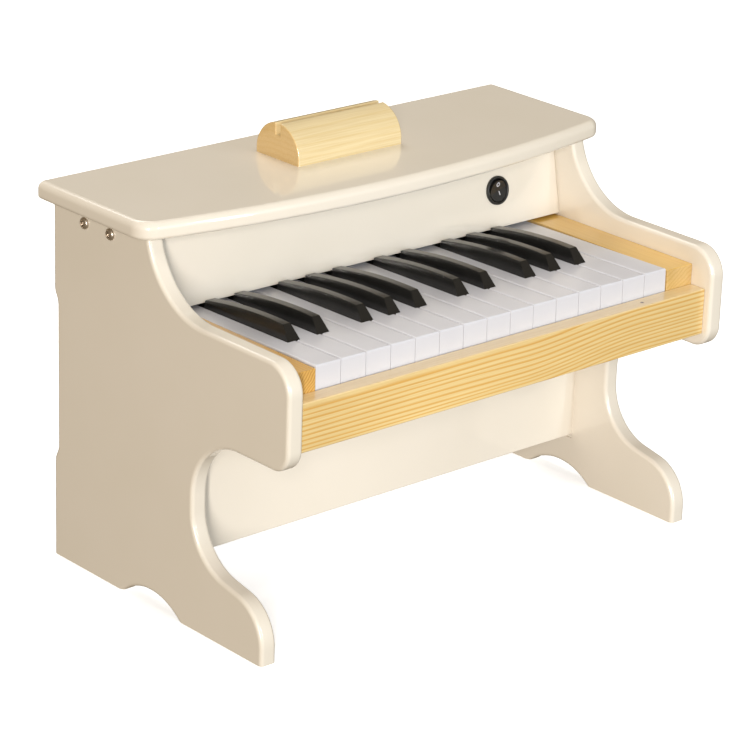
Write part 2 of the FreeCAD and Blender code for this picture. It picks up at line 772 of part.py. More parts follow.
def black_key(tail):
    """Moulded black key: drafted crowned cap over a hollow body, hinge arm and post."""
    x0, x1 = trimmed(tail)
    cap = across(black_profile(), x0, x1)
    high = key_top + 2 * black_crown_height
    lean_in = 2 * black_draft
    flanks = []
    for edge, way in ((x0, 1), (x1, -1)):
        outside = edge - way * black_width
        corners = [Vector(edge, 0, key_top), Vector(edge + way * lean_in, 0, high), Vector(outside, 0, high),
                   Vector(outside, 0, key_top)]
        wedge = Part.Face(outline(corners)).extrude(Vector(0, 2 * key_reach, 0))
        wedge.translate(Vector(0, -key_reach, 0))
        flanks.append(wedge)
    cap = cap.cut(flanks)
    tail_top = key_top - black_tail_drop
    body = box(x0, x1, black_front_y, black_rear_y, skirt_bottom, key_top)
    body = body.fuse([cap, box(x0, x1, black_rear_y - 1, arm_start_y, skirt_bottom, tail_top)])
    hollow = box(x0 + key_wall, x1 - key_wall, black_front_y + key_wall, arm_start_y - key_wall,
                 skirt_bottom - 1, tail_top - key_wall)
    return at_rest(body.cut(hollow).fuse([hinge_arm(tail), contact_post(tail)]).removeSplitter())


def tail_middles():
    return [(tail[0] + tail[1]) / 2 for _, _, tail in key_layout()]


def key_pivot_rod():
    ends = tail_middles()
    reach = arm_width / 2 + rib_reach + rod_overhang
    low, high = ends[0] - reach, ends[-1] + reach
    return rod(rod_diameter, Vector(low, pivot_y, pivot_z), Vector(high, pivot_y, pivot_z))


def saddle(x):
    """Upright rib with a slot, open at the top, that the pivot rod drops into."""
    x0, x1 = x - saddle_thickness / 2, x + saddle_thickness / 2
    half = saddle_length / 2
    top = pivot_z + saddle_above_rod
    rib = box(x0, x1, pivot_y - half, pivot_y + half, base_top_z - 1, top)
    width = rod_diameter + 2 * rod_clearance
    seat = rod(width, Vector(x0 - 1, pivot_y, pivot_z), Vector(x1 + 1, pivot_y, pivot_z))
    mouth = box(x0 - 1, x1 + 1, pivot_y - width / 2, pivot_y + width / 2, pivot_z, top + 1)
    return rib.cut([seat, mouth])


def saddle_places():
    """Ribs midway between neighbouring hinge arms and outside the last ones."""
    middles = tail_middles()
    inner = [(a + b) / 2 for a, b in zip(middles, middles[1:])]
    reach = arm_width / 2 + rib_reach / 2
    return [middles[0] - reach] + inner + [middles[-1] + reach]


def tongues():
    """Guide tongues that stand inside the hollow keys and keep them in line."""
    plates = []
    for kind, head, _ in key_layout():
        x0, x1 = trimmed(head)
        inset = key_wall + tongue_gap
        y = white_tongue_y if kind == "white" else stop_front_y + stop_width
        plates.append(box(x0 + inset, x1 - inset, y, y + tongue_thickness, base_top_z - 1, tongue_top_z))
    return plates


def stop_ledge_top():
    """Height of the ledge under the stop felt, just clear of a fully pressed key."""
    pressed = math.radians(key_travel - key_rest_slope)
    drop = (pivot_y - stop_front_y) * math.sin(pressed)
    low = pivot_z - (key_skirt - pivot_depth) * math.cos(pressed) - drop
    return low - stop_clearance - stop_felt_thickness


def rest_ledge_top():
    """Height of the ledge under the rest felt, at the lowest corner of a key's tail."""
    low = pivot_z - (key_skirt - pivot_depth) * math.cos(slope) - arm_tail * math.sin(slope)
    return low - rest_clearance - rest_felt_thickness


def keyboard_chassis():
    """Moulded tray: base, front wall, ledges, guide tongues, board rails and rod saddles."""
    x = keys_half - chassis_end_gap
    front = key_front_y + key_wall + chassis_front_gap
    rear = pivot_y + arm_tail
    low = base_top_z - 1
    pieces = [
        box(-x, x, front, front + chassis_wall, low, base_top_z + chassis_front_height),
        box(-x, x, white_tongue_y - tongue_beam / 2, white_tongue_y + tongue_beam, low,
            base_top_z + tongue_beam_height),
        box(-x, x, stop_front_y, stop_front_y + stop_width, low, stop_ledge_top()),
        box(-x, x, rear - rest_felt_width, rear, low, rest_ledge_top()),
    ]
    for edge in (-1, 1):
        y = post_y + edge * (key_board_width / 2 - key_board_rail)
        half = key_board_rail / 2
        pieces.append(box(-x, x, y - half, y + half, low, base_top_z + key_board_lift))
    places = saddle_places()
    pieces += tongues() + [saddle(place) for place in places]
    half = saddle_thickness / 2
    saddle_front = pivot_y - saddle_length / 2
    pieces.append(box(places[0] - half, places[-1] + half, saddle_front, rear, bed_top_z, base_top_z))
    base = box(-x, x, front, rear, bed_top_z, base_top_z)
    chassis = base.fuse(pieces).removeSplitter()
    return chassis.cut(screw_holes(chassis_screw_axes(), screw_shank + 2 * screw_clearance, 2 * chassis_base))


def key_stop_felt():
    x = keys_half - chassis_end_gap
    z = stop_ledge_top()
    return box(-x, x, stop_front_y, stop_front_y + stop_width, z, z + stop_felt_thickness)


def key_rest_felt():
    x = keys_half - chassis_end_gap
    rear = pivot_y + arm_tail
    z = rest_ledge_top()
    return box(-x, x, rear - rest_felt_width, rear, z, z + rest_felt_thickness)


def key_circuit_board():
    x = keys_half - chassis_end_gap - key_board_rail
    half = key_board_width / 2
    return box(-x, x, post_y - half, post_y + half, base_top_z + key_board_lift, board_top_z)


def contact_rubber_strip():
    """One silicone strip with a dome under the post of each key."""
    ends = tail_middles()
    x = ends[-1] + dome_base
    half = rubber_width / 2
    strip = box(-x, x, post_y - half, post_y + half, board_top_z, board_top_z + rubber_thickness)
    low = board_top_z + rubber_thickness
    domes = [Part.makeCone(dome_base / 2, dome_top / 2, dome_height, Vector(m, post_y, low)) for m in ends]
    return strip.fuse(domes)


def turned(points, base, way):
    """Solid of revolution from (radius, height) points, set on base and pointing along way."""
    wire = Part.makePolygon([Vector(r, 0, h) for r, h in points + points[:1]])
    solid = Part.Face(wire).revolve(Vector(0, 0, 0), Vector(0, 0, 1), 360)
    solid.Placement = Placement(base, Rotation(Vector(0, 0, 1), way))
    return solid


def speaker_base():
    return Vector(speaker_x, back_inner_y, speaker_z), Vector(0, -1, 0)


def speaker_frame():
    """Pressed steel basket: flat flange, sloping wall and closed pot end."""
    rim = speaker_diameter / 2
    mouth = rim - speaker_rim
    neck = magnet_diameter / 2
    points = [(mouth, 0), (rim, 0), (rim, speaker_flange), (mouth + speaker_wall, speaker_flange),
              (neck, speaker_depth), (0, speaker_depth), (0, speaker_depth - speaker_wall),
              (neck - speaker_wall, speaker_depth - speaker_wall), (mouth, speaker_flange)]
    frame = turned(points, *speaker_base())
    hole = screw_shank + 2 * screw_clearance
    return frame.cut(screw_holes(speaker_screw_axes(), hole, speaker_screw_length))


def speaker_cone():
    """Paper cone with a domed middle, hung inside the basket's mouth."""
    mouth = speaker_diameter / 2 - speaker_rim - cone_gap
    neck = cone_neck / 2
    floor = speaker_depth - speaker_wall - cone_gap
    points = [(mouth, 1), (mouth, 1 + cone_thickness), (neck, floor), (0, floor - neck / 2),
              (0, floor - neck / 2 - cone_thickness), (neck, floor - 2 * cone_thickness)]
    return turned(points, *speaker_base())


def speaker_magnet():
    base, way = speaker_base()
    return Part.makeCylinder(magnet_diameter / 2, magnet_height, base + way * speaker_depth, way)


def cell_axes():
    """Start points of the cells along X, with every second one turned round."""
    low = battery_z - (cell_count - 1) * cell_pitch / 2
    y = tray_floor_y() + cell_clearance + cell_diameter / 2
    axes = []
    for i in range(cell_count):
        way = 1 if i % 2 == 0 else -1
        axes.append((Vector(battery_x - way * cell_length / 2, y, low + i * cell_pitch), Vector(way, 0, 0)))
    return axes


def tray_floor_y():
    """Inner face of the tray's floor, a cell's thickness in front of the door."""
    return back_outer_y - door_thickness - cell_diameter - 2 * cell_clearance


def battery_tray():
    """Tray that holds the cells from behind, with a flange inside the back panel."""
    length, height = tray_size()
    floor = tray_floor_y()
    rim_y = back_outer_y - door_thickness
    body = battery_opening(0, floor - tray_wall, rim_y)
    body = body.fuse(battery_opening(tray_flange, back_inner_y - tray_flange_thickness, back_inner_y))
    inside = box(battery_x - length / 2, battery_x + length / 2, floor, rim_y + 1,
                 battery_z - height / 2, battery_z + height / 2)
    return body.cut(inside).removeSplitter()


def battery_cells():
    cells = []
    for start, way in cell_axes():
        can = Part.makeCylinder(cell_diameter / 2, cell_length - cell_nub_height, start, way)
        nub = Part.makeCylinder(cell_nub_diameter / 2, cell_length, start, way)
        cells.append(can.fuse(nub).removeSplitter())
    return Part.makeCompound(cells)


def battery_contacts():
    """Plate at each end of each cell: a dimple at the nub, a spring cone at the base."""
    half = contact_size / 2
    length, _ = tray_size()
    pieces = []
    for start, way in cell_axes():
        for end, seat in ((start, -1), (start + way * cell_length, 1)):
            out = way * seat
            wall = Vector(battery_x + out.x * length / 2, end.y, end.z)
            room = abs(wall.x - end.x)
            plate_x = sorted((wall.x, wall.x - out.x * contact_thickness))
            plate = box(plate_x[0], plate_x[1], wall.y - half, wall.y + half, wall.z - half, wall.z + half)
            wide = half * 0.8 if seat < 0 else half * 0.5
            height = room - contact_thickness - cell_clearance
            cone = Part.makeCone(wide, wide * 0.6, height, wall - out * contact_thickness, out * -1)
            pieces.append(plate.fuse(cone).removeSplitter())
    return Part.makeCompound(pieces)


def battery_door():
    """Flush door with a finger notch, resting on the tray's rim."""
    door = battery_opening(0, back_outer_y - door_thickness, back_outer_y)
    length, height = tray_size()
    notch = rod(cell_diameter, Vector(battery_x, back_outer_y, battery_z + height / 2 + tray_wall),
                Vector(battery_x, back_outer_y - door_thickness / 2, battery_z + height / 2 + tray_wall))
    return door.cut(notch)


def main_board_y():
    return back_inner_y - spacer_length


def main_circuit_board():
    """Sound board with its chip, two capacitors and a lead socket."""
    y = main_board_y()
    front = y - board_thickness
    half = main_board_height / 2
    end = main_board_length / 2
    board = box(-end, end, front, y, main_board_z - half, main_board_z + half)
    chip = box(-chip_size / 2, chip_size / 2, front - chip_height, front, main_board_z - chip_size / 2,
               main_board_z + chip_size / 2)
    socket_x = end - socket_length
    socket = box(socket_x - socket_length, socket_x, front - socket_height, front,
                 main_board_z - socket_width / 2, main_board_z + socket_width / 2)
    cans = []
    for step in (-1, 1):
        foot = Vector(-main_board_length / 4, front, main_board_z + step * capacitor_diameter)
        cans.append(Part.makeCylinder(capacitor_diameter / 2, capacitor_height, foot, Vector(0, -1, 0)))
    return board.fuse([chip, socket] + cans).removeSplitter()


def board_spacers():
    reach_x = main_board_length / 2 - spacer_inset
    reach_z = main_board_height / 2 - spacer_inset
    y = main_board_y()
    posts = []
    for x in (-reach_x, reach_x):
        for z in (main_board_z - reach_z, main_board_z + reach_z):
            posts.append(rod(spacer_diameter, Vector(x, y, z), Vector(x, back_inner_y, z)))
    return Part.makeCompound(posts)


def switch_placement():
    """Frame of the switch: origin on the fallboard's face, Z out of it, Y up it, turned in its hole."""
    y, z = fall_point(switch_up, 0)
    tilt = Rotation(Vector(1, 0, 0), 90 - fallboard_lean)
    return Placement(Vector(switch_x, y, z), tilt * Rotation(Vector(0, 0, 1), switch_turn))


def rocker_axis_z():
    return bezel_height - rocker_pivot_depth


def switch_housing():
    """Round bezel and barrel with a pocket for the rocker and bores for its pins."""
    bezel = Part.makeCylinder(bezel_diameter / 2, bezel_height)
    bezel = bezel.makeFillet(bezel_round, [e for e in bezel.Edges if e.BoundBox.ZMin > bezel_height - 1e-4])
    barrel = Part.makeCylinder(barrel_diameter / 2, barrel_depth, Vector(0, 0, -barrel_depth))
    pocket = Part.makeCylinder(rocker_diameter / 2 + rocker_clearance, 2 * rocker_pocket,
                               Vector(0, 0, bezel_height - rocker_pocket))
    housing = bezel.fuse(barrel).removeSplitter().cut(pocket)
    reach = rocker_diameter / 2 + rocker_pin_length
    z = rocker_axis_z()
    bore = rod(rocker_pin + 2 * pin_clearance, Vector(-reach, 0, z), Vector(reach, 0, z))
    housing = housing.cut(bore)
    housing.Placement = switch_placement()
    return housing


def switch_rocker():
    """Round rocker whose halves slope to a crease, on two pins, with its lower half pressed in."""
    half = rocker_diameter / 2
    axis = rocker_axis_z()
    crease = axis + rocker_rise - half * math.tan(math.radians(rocker_crease))
    end = axis + rocker_rise
    keel = axis - rocker_keel
    corners = [yz(-half, end), yz(0, crease), yz(half, end), yz(half, keel), yz(-half, keel)]
    wedge = across(outline(corners), -half, half)
    drum = Part.makeCylinder(half, 4 * rocker_keel, Vector(0, 0, axis - 2 * rocker_keel))
    rocker = drum.common(wedge)
    reach = half + rocker_pin_length - pin_clearance
    rocker = rocker.fuse(rod(rocker_pin, Vector(-reach, 0, axis), Vector(reach, 0, axis))).removeSplitter()
    rocker.rotate(Vector(0, 0, axis), Vector(1, 0, 0), rocker_half_throw)
    rocker.Placement = switch_placement() * rocker.Placement
    return rocker


def switch_terminals():
    blades = []
    for step in (-1, 1):
        y = step * terminal_spacing / 2
        half_x, half_y = terminal_width / 2, terminal_thickness / 2
        blade = box(-half_x, half_x, y - half_y, y + half_y, -barrel_depth - terminal_length, -barrel_depth)
        blade.Placement = switch_placement()
        blades.append(blade)
    return Part.makeCompound(blades)


def panel_dowels():
    places = [p for spots in dowel_places().values() for p in spots]
    bars = side_dowels(places, dowel_diameter, dowel_end_gap) + holder_dowels(dowel_diameter, dowel_end_gap)
    return Part.makeCompound(bars)


def side_screws():
    return Part.makeCompound([pan_screw(seat, way, side_screw_head, side_screw_head_height, side_screw_shank,
                                        side_screw_length - 1) for seat, way in side_screw_axes()])


def small_screws():
    """Small pan-head screws of the back panel, the chassis and the speaker."""
    runs = [(back_screw_axes(), back_screw_length), (chassis_screw_axes(), chassis_screw_length),
            (speaker_screw_axes(), speaker_screw_length)]
    screws = []
    for axes, length in runs:
        for seat, way in axes:
            screws.append(pan_screw(seat, way, screw_head, screw_head_height, screw_shank, length - 1))
    return Part.makeCompound(screws)


def lead(points):
    """Wire along straight runs with an arc at each corner."""
    edges = []
    last = points[0]
    for before, corner, after in zip(points, points[1:], points[2:]):
        back = before - corner
        ahead = after - corner
        turn = math.pi - back.getAngle(ahead)
        trim = lead_bend * min(back.Length, ahead.Length)
        start = corner + back.normalize() * trim
        end = corner + ahead.normalize() * trim
        radius = trim / math.tan(turn / 2)
        middle_way = (back + ahead).normalize()
        middle = corner + middle_way * (radius / math.cos(turn / 2) - radius)
        edges += [Part.makeLine(last, start), Part.Arc(start, middle, end).toShape()]
        last = end
    edges.append(Part.makeLine(last, points[-1]))
    path = Part.Wire(edges)
    first = (points[1] - points[0]).normalize()
    section = Part.Wire(Part.makeCircle(lead_diameter / 2, points[0], first))
    return path.makePipeShell([section], True, False)


def lead_wires():
    """Leads from the speaker, the batteries and the switch to the sound board."""
    front = main_board_y() - board_thickness
    edge = main_board_length / 2 - lead_inset
    out = lead_run
    speaker_y = back_inner_y - speaker_depth / 2
    rim = speaker_x + speaker_diameter / 2 - speaker_rim / 2
    speaker_lead = [Vector(rim, back_inner_y - speaker_flange, speaker_z), Vector(rim, speaker_y, speaker_z),
                    Vector(-edge, front - out, main_board_z), Vector(-edge, front, main_board_z)]
    length, height = tray_size()
    tray_x = battery_x - length / 2 - tray_wall
    low_z = battery_z - height / 4
    tray_y = back_inner_y - tray_flange_thickness - 2 * lead_diameter
    battery_lead = [Vector(tray_x, tray_y, low_z), Vector(tray_x - out, tray_y, low_z),
                    Vector(edge, front - out, low_z), Vector(edge, front, low_z)]
    blade = switch_placement().multVec(Vector(0, terminal_spacing / 2, -barrel_depth - terminal_length))
    way = switch_placement().Rotation.multVec(Vector(0, 0, -1))
    high_z = main_board_z + main_board_height / 2 - spacer_inset / 2
    hub = edge - 2 * out
    switch_lead = [blade, blade + way * out, Vector(hub, front - out, high_z), Vector(hub, front, high_z)]
    return Part.makeCompound([lead(run) for run in (speaker_lead, battery_lead, switch_lead)])


def keys():
    """All keys by name, numbered from the left within each colour."""
    made = {}
    counts = {"white": 0, "black": 0}
    for kind, head, tail in key_layout():
        counts[kind] += 1
        name = "%s_key_%02d" % (kind, counts[kind])
        made[name] = white_key(head, tail) if kind == "white" else black_key(tail)
    return made


def pieces():
    made = {
        "left_side_panel": side_panel(-1),
        "right_side_panel": side_panel(1),
        "lid_panel": lid_panel(),
        "music_holder": music_holder(),
        "fallboard": fallboard(),
        "knee_panel": knee_panel(),
        "front_rail": front_rail(),
        "left_cheek_block": cheek_block(-1),
        "right_cheek_block": cheek_block(1),
        "key_bed": key_bed(),
        "back_panel": back_panel(),
        "lid_cleats": lid_cleats(),
        "side_screws": side_screws(),
        "small_screws": small_screws(),
        "panel_dowels": panel_dowels(),
        "keyboard_chassis": keyboard_chassis(),
        "key_pivot_rod": key_pivot_rod(),
        "key_stop_felt": key_stop_felt(),
        "key_rest_felt": key_rest_felt(),
        "key_circuit_board": key_circuit_board(),
        "contact_rubber_strip": contact_rubber_strip(),
        "speaker_frame": speaker_frame(),
        "speaker_cone": speaker_cone(),
        "speaker_magnet": speaker_magnet(),
        "battery_tray": battery_tray(),
        "battery_cells": battery_cells(),
        "battery_contacts": battery_contacts(),
        "battery_door": battery_door(),
        "main_circuit_board": main_circuit_board(),
        "board_spacers": board_spacers(),
        "switch_housing": switch_housing(),
        "switch_rocker": switch_rocker(),
        "switch_terminals": switch_terminals(),
        "lead_wires": lead_wires(),
    }
    made.update(keys())
    return made


os.makedirs("parts", exist_ok=True)
for name, shape in pieces().items():
    shape.exportStep("parts/%s.step" % name)
    print("%-22s solids %2d valid %s volume %.0f" % (name, len(shape.Solids), shape.isValid(), shape.Volume))
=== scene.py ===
# %% [markdown]
# # A toy piano in cream paint and clear pine
# The piano is already solved as a set of CAD solids with joints. This lesson dresses it for
# a photograph: the wooden boards are drawn again with soft edges, the keys get the small
# rounded rims that moulded plastic has, and every surface gets a finish made of nodes.
# All lengths are worked out in millimetres and turned into metres by one factor.

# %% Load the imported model
import json
import math

import bmesh
import bpy
from mathutils import Matrix, Vector

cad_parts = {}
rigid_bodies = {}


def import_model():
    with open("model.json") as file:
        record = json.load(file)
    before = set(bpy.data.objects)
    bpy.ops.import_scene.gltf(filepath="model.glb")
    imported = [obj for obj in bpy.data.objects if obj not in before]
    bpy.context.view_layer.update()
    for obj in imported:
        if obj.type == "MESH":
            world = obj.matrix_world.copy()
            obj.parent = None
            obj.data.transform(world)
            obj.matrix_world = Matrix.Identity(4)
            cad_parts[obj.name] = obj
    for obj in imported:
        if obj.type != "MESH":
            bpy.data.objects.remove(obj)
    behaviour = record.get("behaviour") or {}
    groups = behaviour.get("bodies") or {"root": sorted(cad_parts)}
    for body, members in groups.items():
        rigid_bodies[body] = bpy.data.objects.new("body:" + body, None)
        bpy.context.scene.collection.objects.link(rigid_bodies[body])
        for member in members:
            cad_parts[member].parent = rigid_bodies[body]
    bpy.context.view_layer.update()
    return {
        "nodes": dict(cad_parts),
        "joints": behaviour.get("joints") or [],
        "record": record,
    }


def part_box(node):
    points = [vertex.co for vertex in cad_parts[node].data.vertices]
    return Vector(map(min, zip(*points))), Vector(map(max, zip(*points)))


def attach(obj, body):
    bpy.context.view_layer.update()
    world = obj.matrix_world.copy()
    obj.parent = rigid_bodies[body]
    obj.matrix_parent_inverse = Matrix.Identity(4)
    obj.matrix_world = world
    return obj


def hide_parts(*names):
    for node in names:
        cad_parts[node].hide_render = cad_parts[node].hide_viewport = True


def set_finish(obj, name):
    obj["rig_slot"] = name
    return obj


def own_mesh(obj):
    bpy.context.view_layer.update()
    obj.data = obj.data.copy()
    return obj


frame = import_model()
MM = 0.001

# %% [markdown]
# ## Working by hand, in code
# Blender's operators act on whatever is selected. The frame arrives selected, so each step
# begins by putting everything down and taking up one object. Inside edit mode a test picks
# edges or faces by their place, as a click would.

# %% Put down, take up, pick
SHARP = math.radians(30)
# Places nearer than this, in millimetres, are taken as the same.
NEAR = 0.01


def put_down():
    """Leave edit mode and deselect everything."""
    if bpy.context.mode != "OBJECT":
        bpy.ops.object.mode_set(mode="OBJECT")
    bpy.ops.object.select_all(action="DESELECT")


def take_up(obj):
    """Make one object the only selected one."""
    put_down()
    obj.select_set(True)
    bpy.context.view_layer.objects.active = obj


def pick(kind, wanted):
    """Select the edges or faces for which wanted is true, and count them."""
    bpy.ops.mesh.select_mode(type=kind)
    bpy.ops.mesh.select_all(action="DESELECT")
    shape = bmesh.from_edit_mesh(bpy.context.object.data)
    parts = {"EDGE": shape.edges, "FACE": shape.faces}[kind]
    chosen = [part for part in parts if wanted(part)]
    for part in chosen:
        part.select_set(True)
    shape.select_flush_mode()
    bmesh.update_edit_mesh(bpy.context.object.data)
    return len(chosen)


def is_sharp(edge):
    """True for an edge between two faces that meet at more than the sharp angle."""
    return len(edge.link_faces) == 2 and edge.calc_face_angle(0) > SHARP


# %% [markdown]
# A finished piece sits at the origin with its place in its mesh. Smooth shading would bend
# the light on a big flat board near its rounded rim, so a weighted normal modifier gives
# the large face the say, and is then applied.

# %% Settle a piece on its body
SMOOTH_BELOW = math.radians(32)


def settle(obj, name, body, slot, *nodes):
    """Shade the piece, name it and hang it on its body in place of its CAD nodes."""
    take_up(obj)
    bpy.ops.object.transform_apply(location=True, rotation=True, scale=True)
    bpy.ops.object.shade_smooth_by_angle(angle=SMOOTH_BELOW)
    bpy.ops.object.modifier_add(type="WEIGHTED_NORMAL")
    obj.modifiers[-1].keep_sharp = True
    bpy.ops.object.modifier_apply(modifier=obj.modifiers[-1].name)
    obj.name = name
    obj.data.name = name
    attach(obj, body)
    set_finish(obj, slot)
    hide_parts(*nodes)
    put_down()
    print(name, "faces:", len(obj.data.polygons))


# %% [markdown]
# ## Drawing an outline
# The scrolled boards are cut from flat stock along a drawn line. The same is done here with
# one vertex: extrude it along the straight runs, spin it round the centres of the curves,
# and fill the loop when it comes home.

# %% A pencil made of one vertex
ARC_STEP = 3.0


def pencil(start):
    """New mesh with a single selected vertex at start, in millimetres."""
    put_down()
    bpy.ops.mesh.primitive_plane_add(size=MM)
    bpy.ops.object.mode_set(mode="EDIT")
    bpy.ops.mesh.select_mode(type="VERT")
    bpy.ops.mesh.select_all(action="SELECT")
    bpy.ops.mesh.merge(type="CENTER")
    bpy.ops.transform.translate(value=Vector(start) * MM)
    return bpy.context.object


def draw_to(*point):
    """Straight run from the selected vertex to a point in millimetres."""
    shape = bmesh.from_edit_mesh(bpy.context.object.data)
    here = next(v.co.copy() for v in shape.verts if v.select)
    bpy.ops.mesh.extrude_vertices_move(TRANSFORM_OT_translate={"value": Vector(point) * MM - here})


def draw_round(centre, degrees, axis, step=ARC_STEP):
    """Arc about a centre; degrees follow the right-hand rule, which spin counts backwards."""
    steps = max(3, round(abs(degrees) / step))
    bpy.ops.mesh.spin(steps=steps, angle=math.radians(-degrees), center=Vector(centre) * MM, axis=axis)


# %% From an outline to a board with round edges
JOIN_WITHIN = 0.05


def close_and_fill():
    """Join the two ends of a drawn loop, fill it and say how many points it has."""
    bpy.ops.mesh.select_all(action="SELECT")
    bpy.ops.mesh.remove_doubles(threshold=JOIN_WITHIN * MM)
    bpy.ops.mesh.edge_face_add()
    print("points of the outline:", len(bmesh.from_edit_mesh(bpy.context.object.data).verts))


def thicken(way):
    """Carry the selected face along way, in millimetres, and turn all faces outwards."""
    bpy.ops.mesh.extrude_region_move(TRANSFORM_OT_translate={"value": Vector(way) * MM})
    bpy.ops.mesh.select_all(action="SELECT")
    bpy.ops.mesh.normals_make_consistent(inside=False)


def round_over(wanted, radius, segments):
    """Bevel the edges for which wanted is true, and count them."""
    count = pick("EDGE", wanted)
    bpy.ops.mesh.bevel(offset=radius * MM, segments=segments, affect="EDGES", profile=0.5,
                       clamp_overlap=True)
    return count


# %% [markdown]
# ## Side panels
# Each side is one 13 mm board: a foot with an arch, a toe, the deep knee curve, the arm that
# holds the keyboard and the sweep up to the lid. A router eases both rims by 3 mm. The left
# board is drawn and copied, because the two are the same board moved across the case. The
# outer sizes come from the CAD node. The curves between them have sizes of their own.

# %% Sizes of a side panel, in millimetres and degrees
def drawn_box(node):
    """Low and high corner of a CAD node's box in millimetres, to a tenth."""
    return [[round(c / MM, 1) for c in corner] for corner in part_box(node)]


(SIDE_X, NOSE_Y, _), (side_inner_x, REAR_Y, LID_Z) = drawn_box("left_side_panel")
SIDE_THICK = side_inner_x - SIDE_X
SIDE_STEP = drawn_box("right_side_panel")[0][0] - SIDE_X
KNEE_Y, ARM_LOW_Z, ARM_TOP_Z = -31.6, 145.1, 220.7
ARCH_Y, ARCH_HALF, ARCH_HIGH = 14.3, 31.65, 11.2
TOE_UPRIGHT, TOE_R, FOOT_SLOPE, FOOT_RUN = 11.0, 33.2, 11.0, 16.3
KNEE_LOW_R, KNEE_HIGH_R, NOSE_LOW_R, NOSE_TOP_R = 41.6, 46.8, 16.2, 21.5
SWEEP_Y, SWEEP_R = -39.8, 60.3
WAIST_TOP_Z, WAIST_LOW_Z, WAIST_RAMP, WAIST_DEEP, WAIST_STEP = 197.5, 79.0, 7.0, 4.0, 6.0
SIDE_RIM = 3.0
print("side panel in mm:", round(SIDE_THICK, 1), "thick and", LID_Z, "high")

# %% Lines and arcs in the outer plane of the left side
ACROSS = (1, 0, 0)


def side_to(y, z):
    """Straight run to a point of the outline."""
    draw_to(SIDE_X, y, z)


def side_round(y, z, degrees, step=ARC_STEP):
    """Arc about a centre in the plane of the outline."""
    draw_round((SIDE_X, y, z), degrees, ACROSS, step)


def waist_ramp(z, going_in):
    """S-shaped ramp of the shallow recess in the rear edge, drawn downwards."""
    radius = (WAIST_RAMP ** 2 + (WAIST_DEEP / 2) ** 2) / WAIST_DEEP
    swing = math.degrees(math.asin(WAIST_RAMP / radius))
    outer, inner = REAR_Y - radius, REAR_Y - WAIST_DEEP + radius
    first, second = (outer, inner) if going_in else (inner, outer)
    turn = -swing if going_in else swing
    side_to(REAR_Y if going_in else REAR_Y - WAIST_DEEP, z + WAIST_RAMP)
    side_round(first, z + WAIST_RAMP, turn, WAIST_STEP)
    side_round(second, z - WAIST_RAMP, -turn, WAIST_STEP)


# %% Outline of a side panel
arch_r = (ARCH_HALF ** 2 + ARCH_HIGH ** 2) / (2 * ARCH_HIGH)
arch_turn = 2 * math.degrees(math.asin(ARCH_HALF / arch_r))
sweep_turn = 90 + math.degrees(math.asin((LID_Z - ARM_TOP_Z - SWEEP_R) / SWEEP_R))
tilt = math.radians(FOOT_SLOPE)
toe_y = KNEE_Y - (TOE_R + KNEE_LOW_R) * (1 - math.sin(tilt)) - FOOT_RUN * math.cos(tilt)
knee_y = KNEE_Y - KNEE_LOW_R
knee_z = TOE_UPRIGHT + (TOE_R + KNEE_LOW_R) * math.cos(tilt) + FOOT_RUN * math.sin(tilt)

left_side = pencil((SIDE_X, REAR_Y, 0))
side_to(ARCH_Y + ARCH_HALF, 0)
side_round(ARCH_Y, ARCH_HIGH - arch_r, arch_turn)
side_to(toe_y, 0)
side_to(toe_y, TOE_UPRIGHT)
side_round(toe_y + TOE_R, TOE_UPRIGHT, FOOT_SLOPE - 90)
side_to(knee_y + KNEE_LOW_R * math.sin(tilt), knee_z - KNEE_LOW_R * math.cos(tilt))
side_round(knee_y, knee_z, 90 - FOOT_SLOPE)
side_to(KNEE_Y, ARM_LOW_Z - KNEE_HIGH_R)
side_round(KNEE_Y - KNEE_HIGH_R, ARM_LOW_Z - KNEE_HIGH_R, 90)
side_to(NOSE_Y + NOSE_LOW_R, ARM_LOW_Z)
side_round(NOSE_Y + NOSE_LOW_R, ARM_LOW_Z + NOSE_LOW_R, -90)
side_to(NOSE_Y, ARM_TOP_Z - NOSE_TOP_R)
side_round(NOSE_Y + NOSE_TOP_R, ARM_TOP_Z - NOSE_TOP_R, -90)
side_to(SWEEP_Y, ARM_TOP_Z)
side_round(SWEEP_Y, ARM_TOP_Z + SWEEP_R, sweep_turn)
side_to(REAR_Y, LID_Z)
waist_ramp(WAIST_TOP_Z, True)
waist_ramp(WAIST_LOW_Z, False)
close_and_fill()
thicken((SIDE_THICK, 0, 0))


# %% Eased rims
def board_rim(edge):
    """Edges of the two broad faces, without those on the floor and under the lid."""
    a, b = (v.co / MM for v in edge.verts)
    flat = abs(a.x - b.x) < NEAR
    on_floor = max(a.z, b.z) < NEAR
    under_lid = min(a.z, b.z) > LID_Z - NEAR
    return flat and not on_floor and not under_lid


print("rim edges:", round_over(board_rim, SIDE_RIM, segments=5))
put_down()

# %% [markdown]
# The right side is a copy of the left one. On the inside both have a groove, in which the knee
# panel sits. In the workshop a router cuts it. Here a block that reaches from one groove into
# the other is cut out of each board by a Boolean modifier, which is then applied.

# %% Copies, blocks and cuts
def twin(obj):
    """Copy of an object, with a mesh of its own."""
    copy = obj.copy()
    copy.data = obj.data.copy()
    bpy.context.scene.collection.objects.link(copy)
    return copy


def block(low, high):
    """New cube between two corners, in millimetres."""
    put_down()
    low, high = Vector(low) * MM, Vector(high) * MM
    bpy.ops.mesh.primitive_cube_add(size=1, location=(low + high) / 2, scale=high - low)
    return bpy.context.object


def cut_away(obj, cutter):
    """Cut one object out of another, and throw the cutter away."""
    take_up(obj)
    bpy.ops.object.modifier_add(type="BOOLEAN")
    obj.modifiers[-1].object = cutter
    obj.modifiers[-1].solver = "EXACT"
    bpy.ops.object.modifier_apply(modifier=obj.modifiers[-1].name)
    bpy.data.objects.remove(cutter)


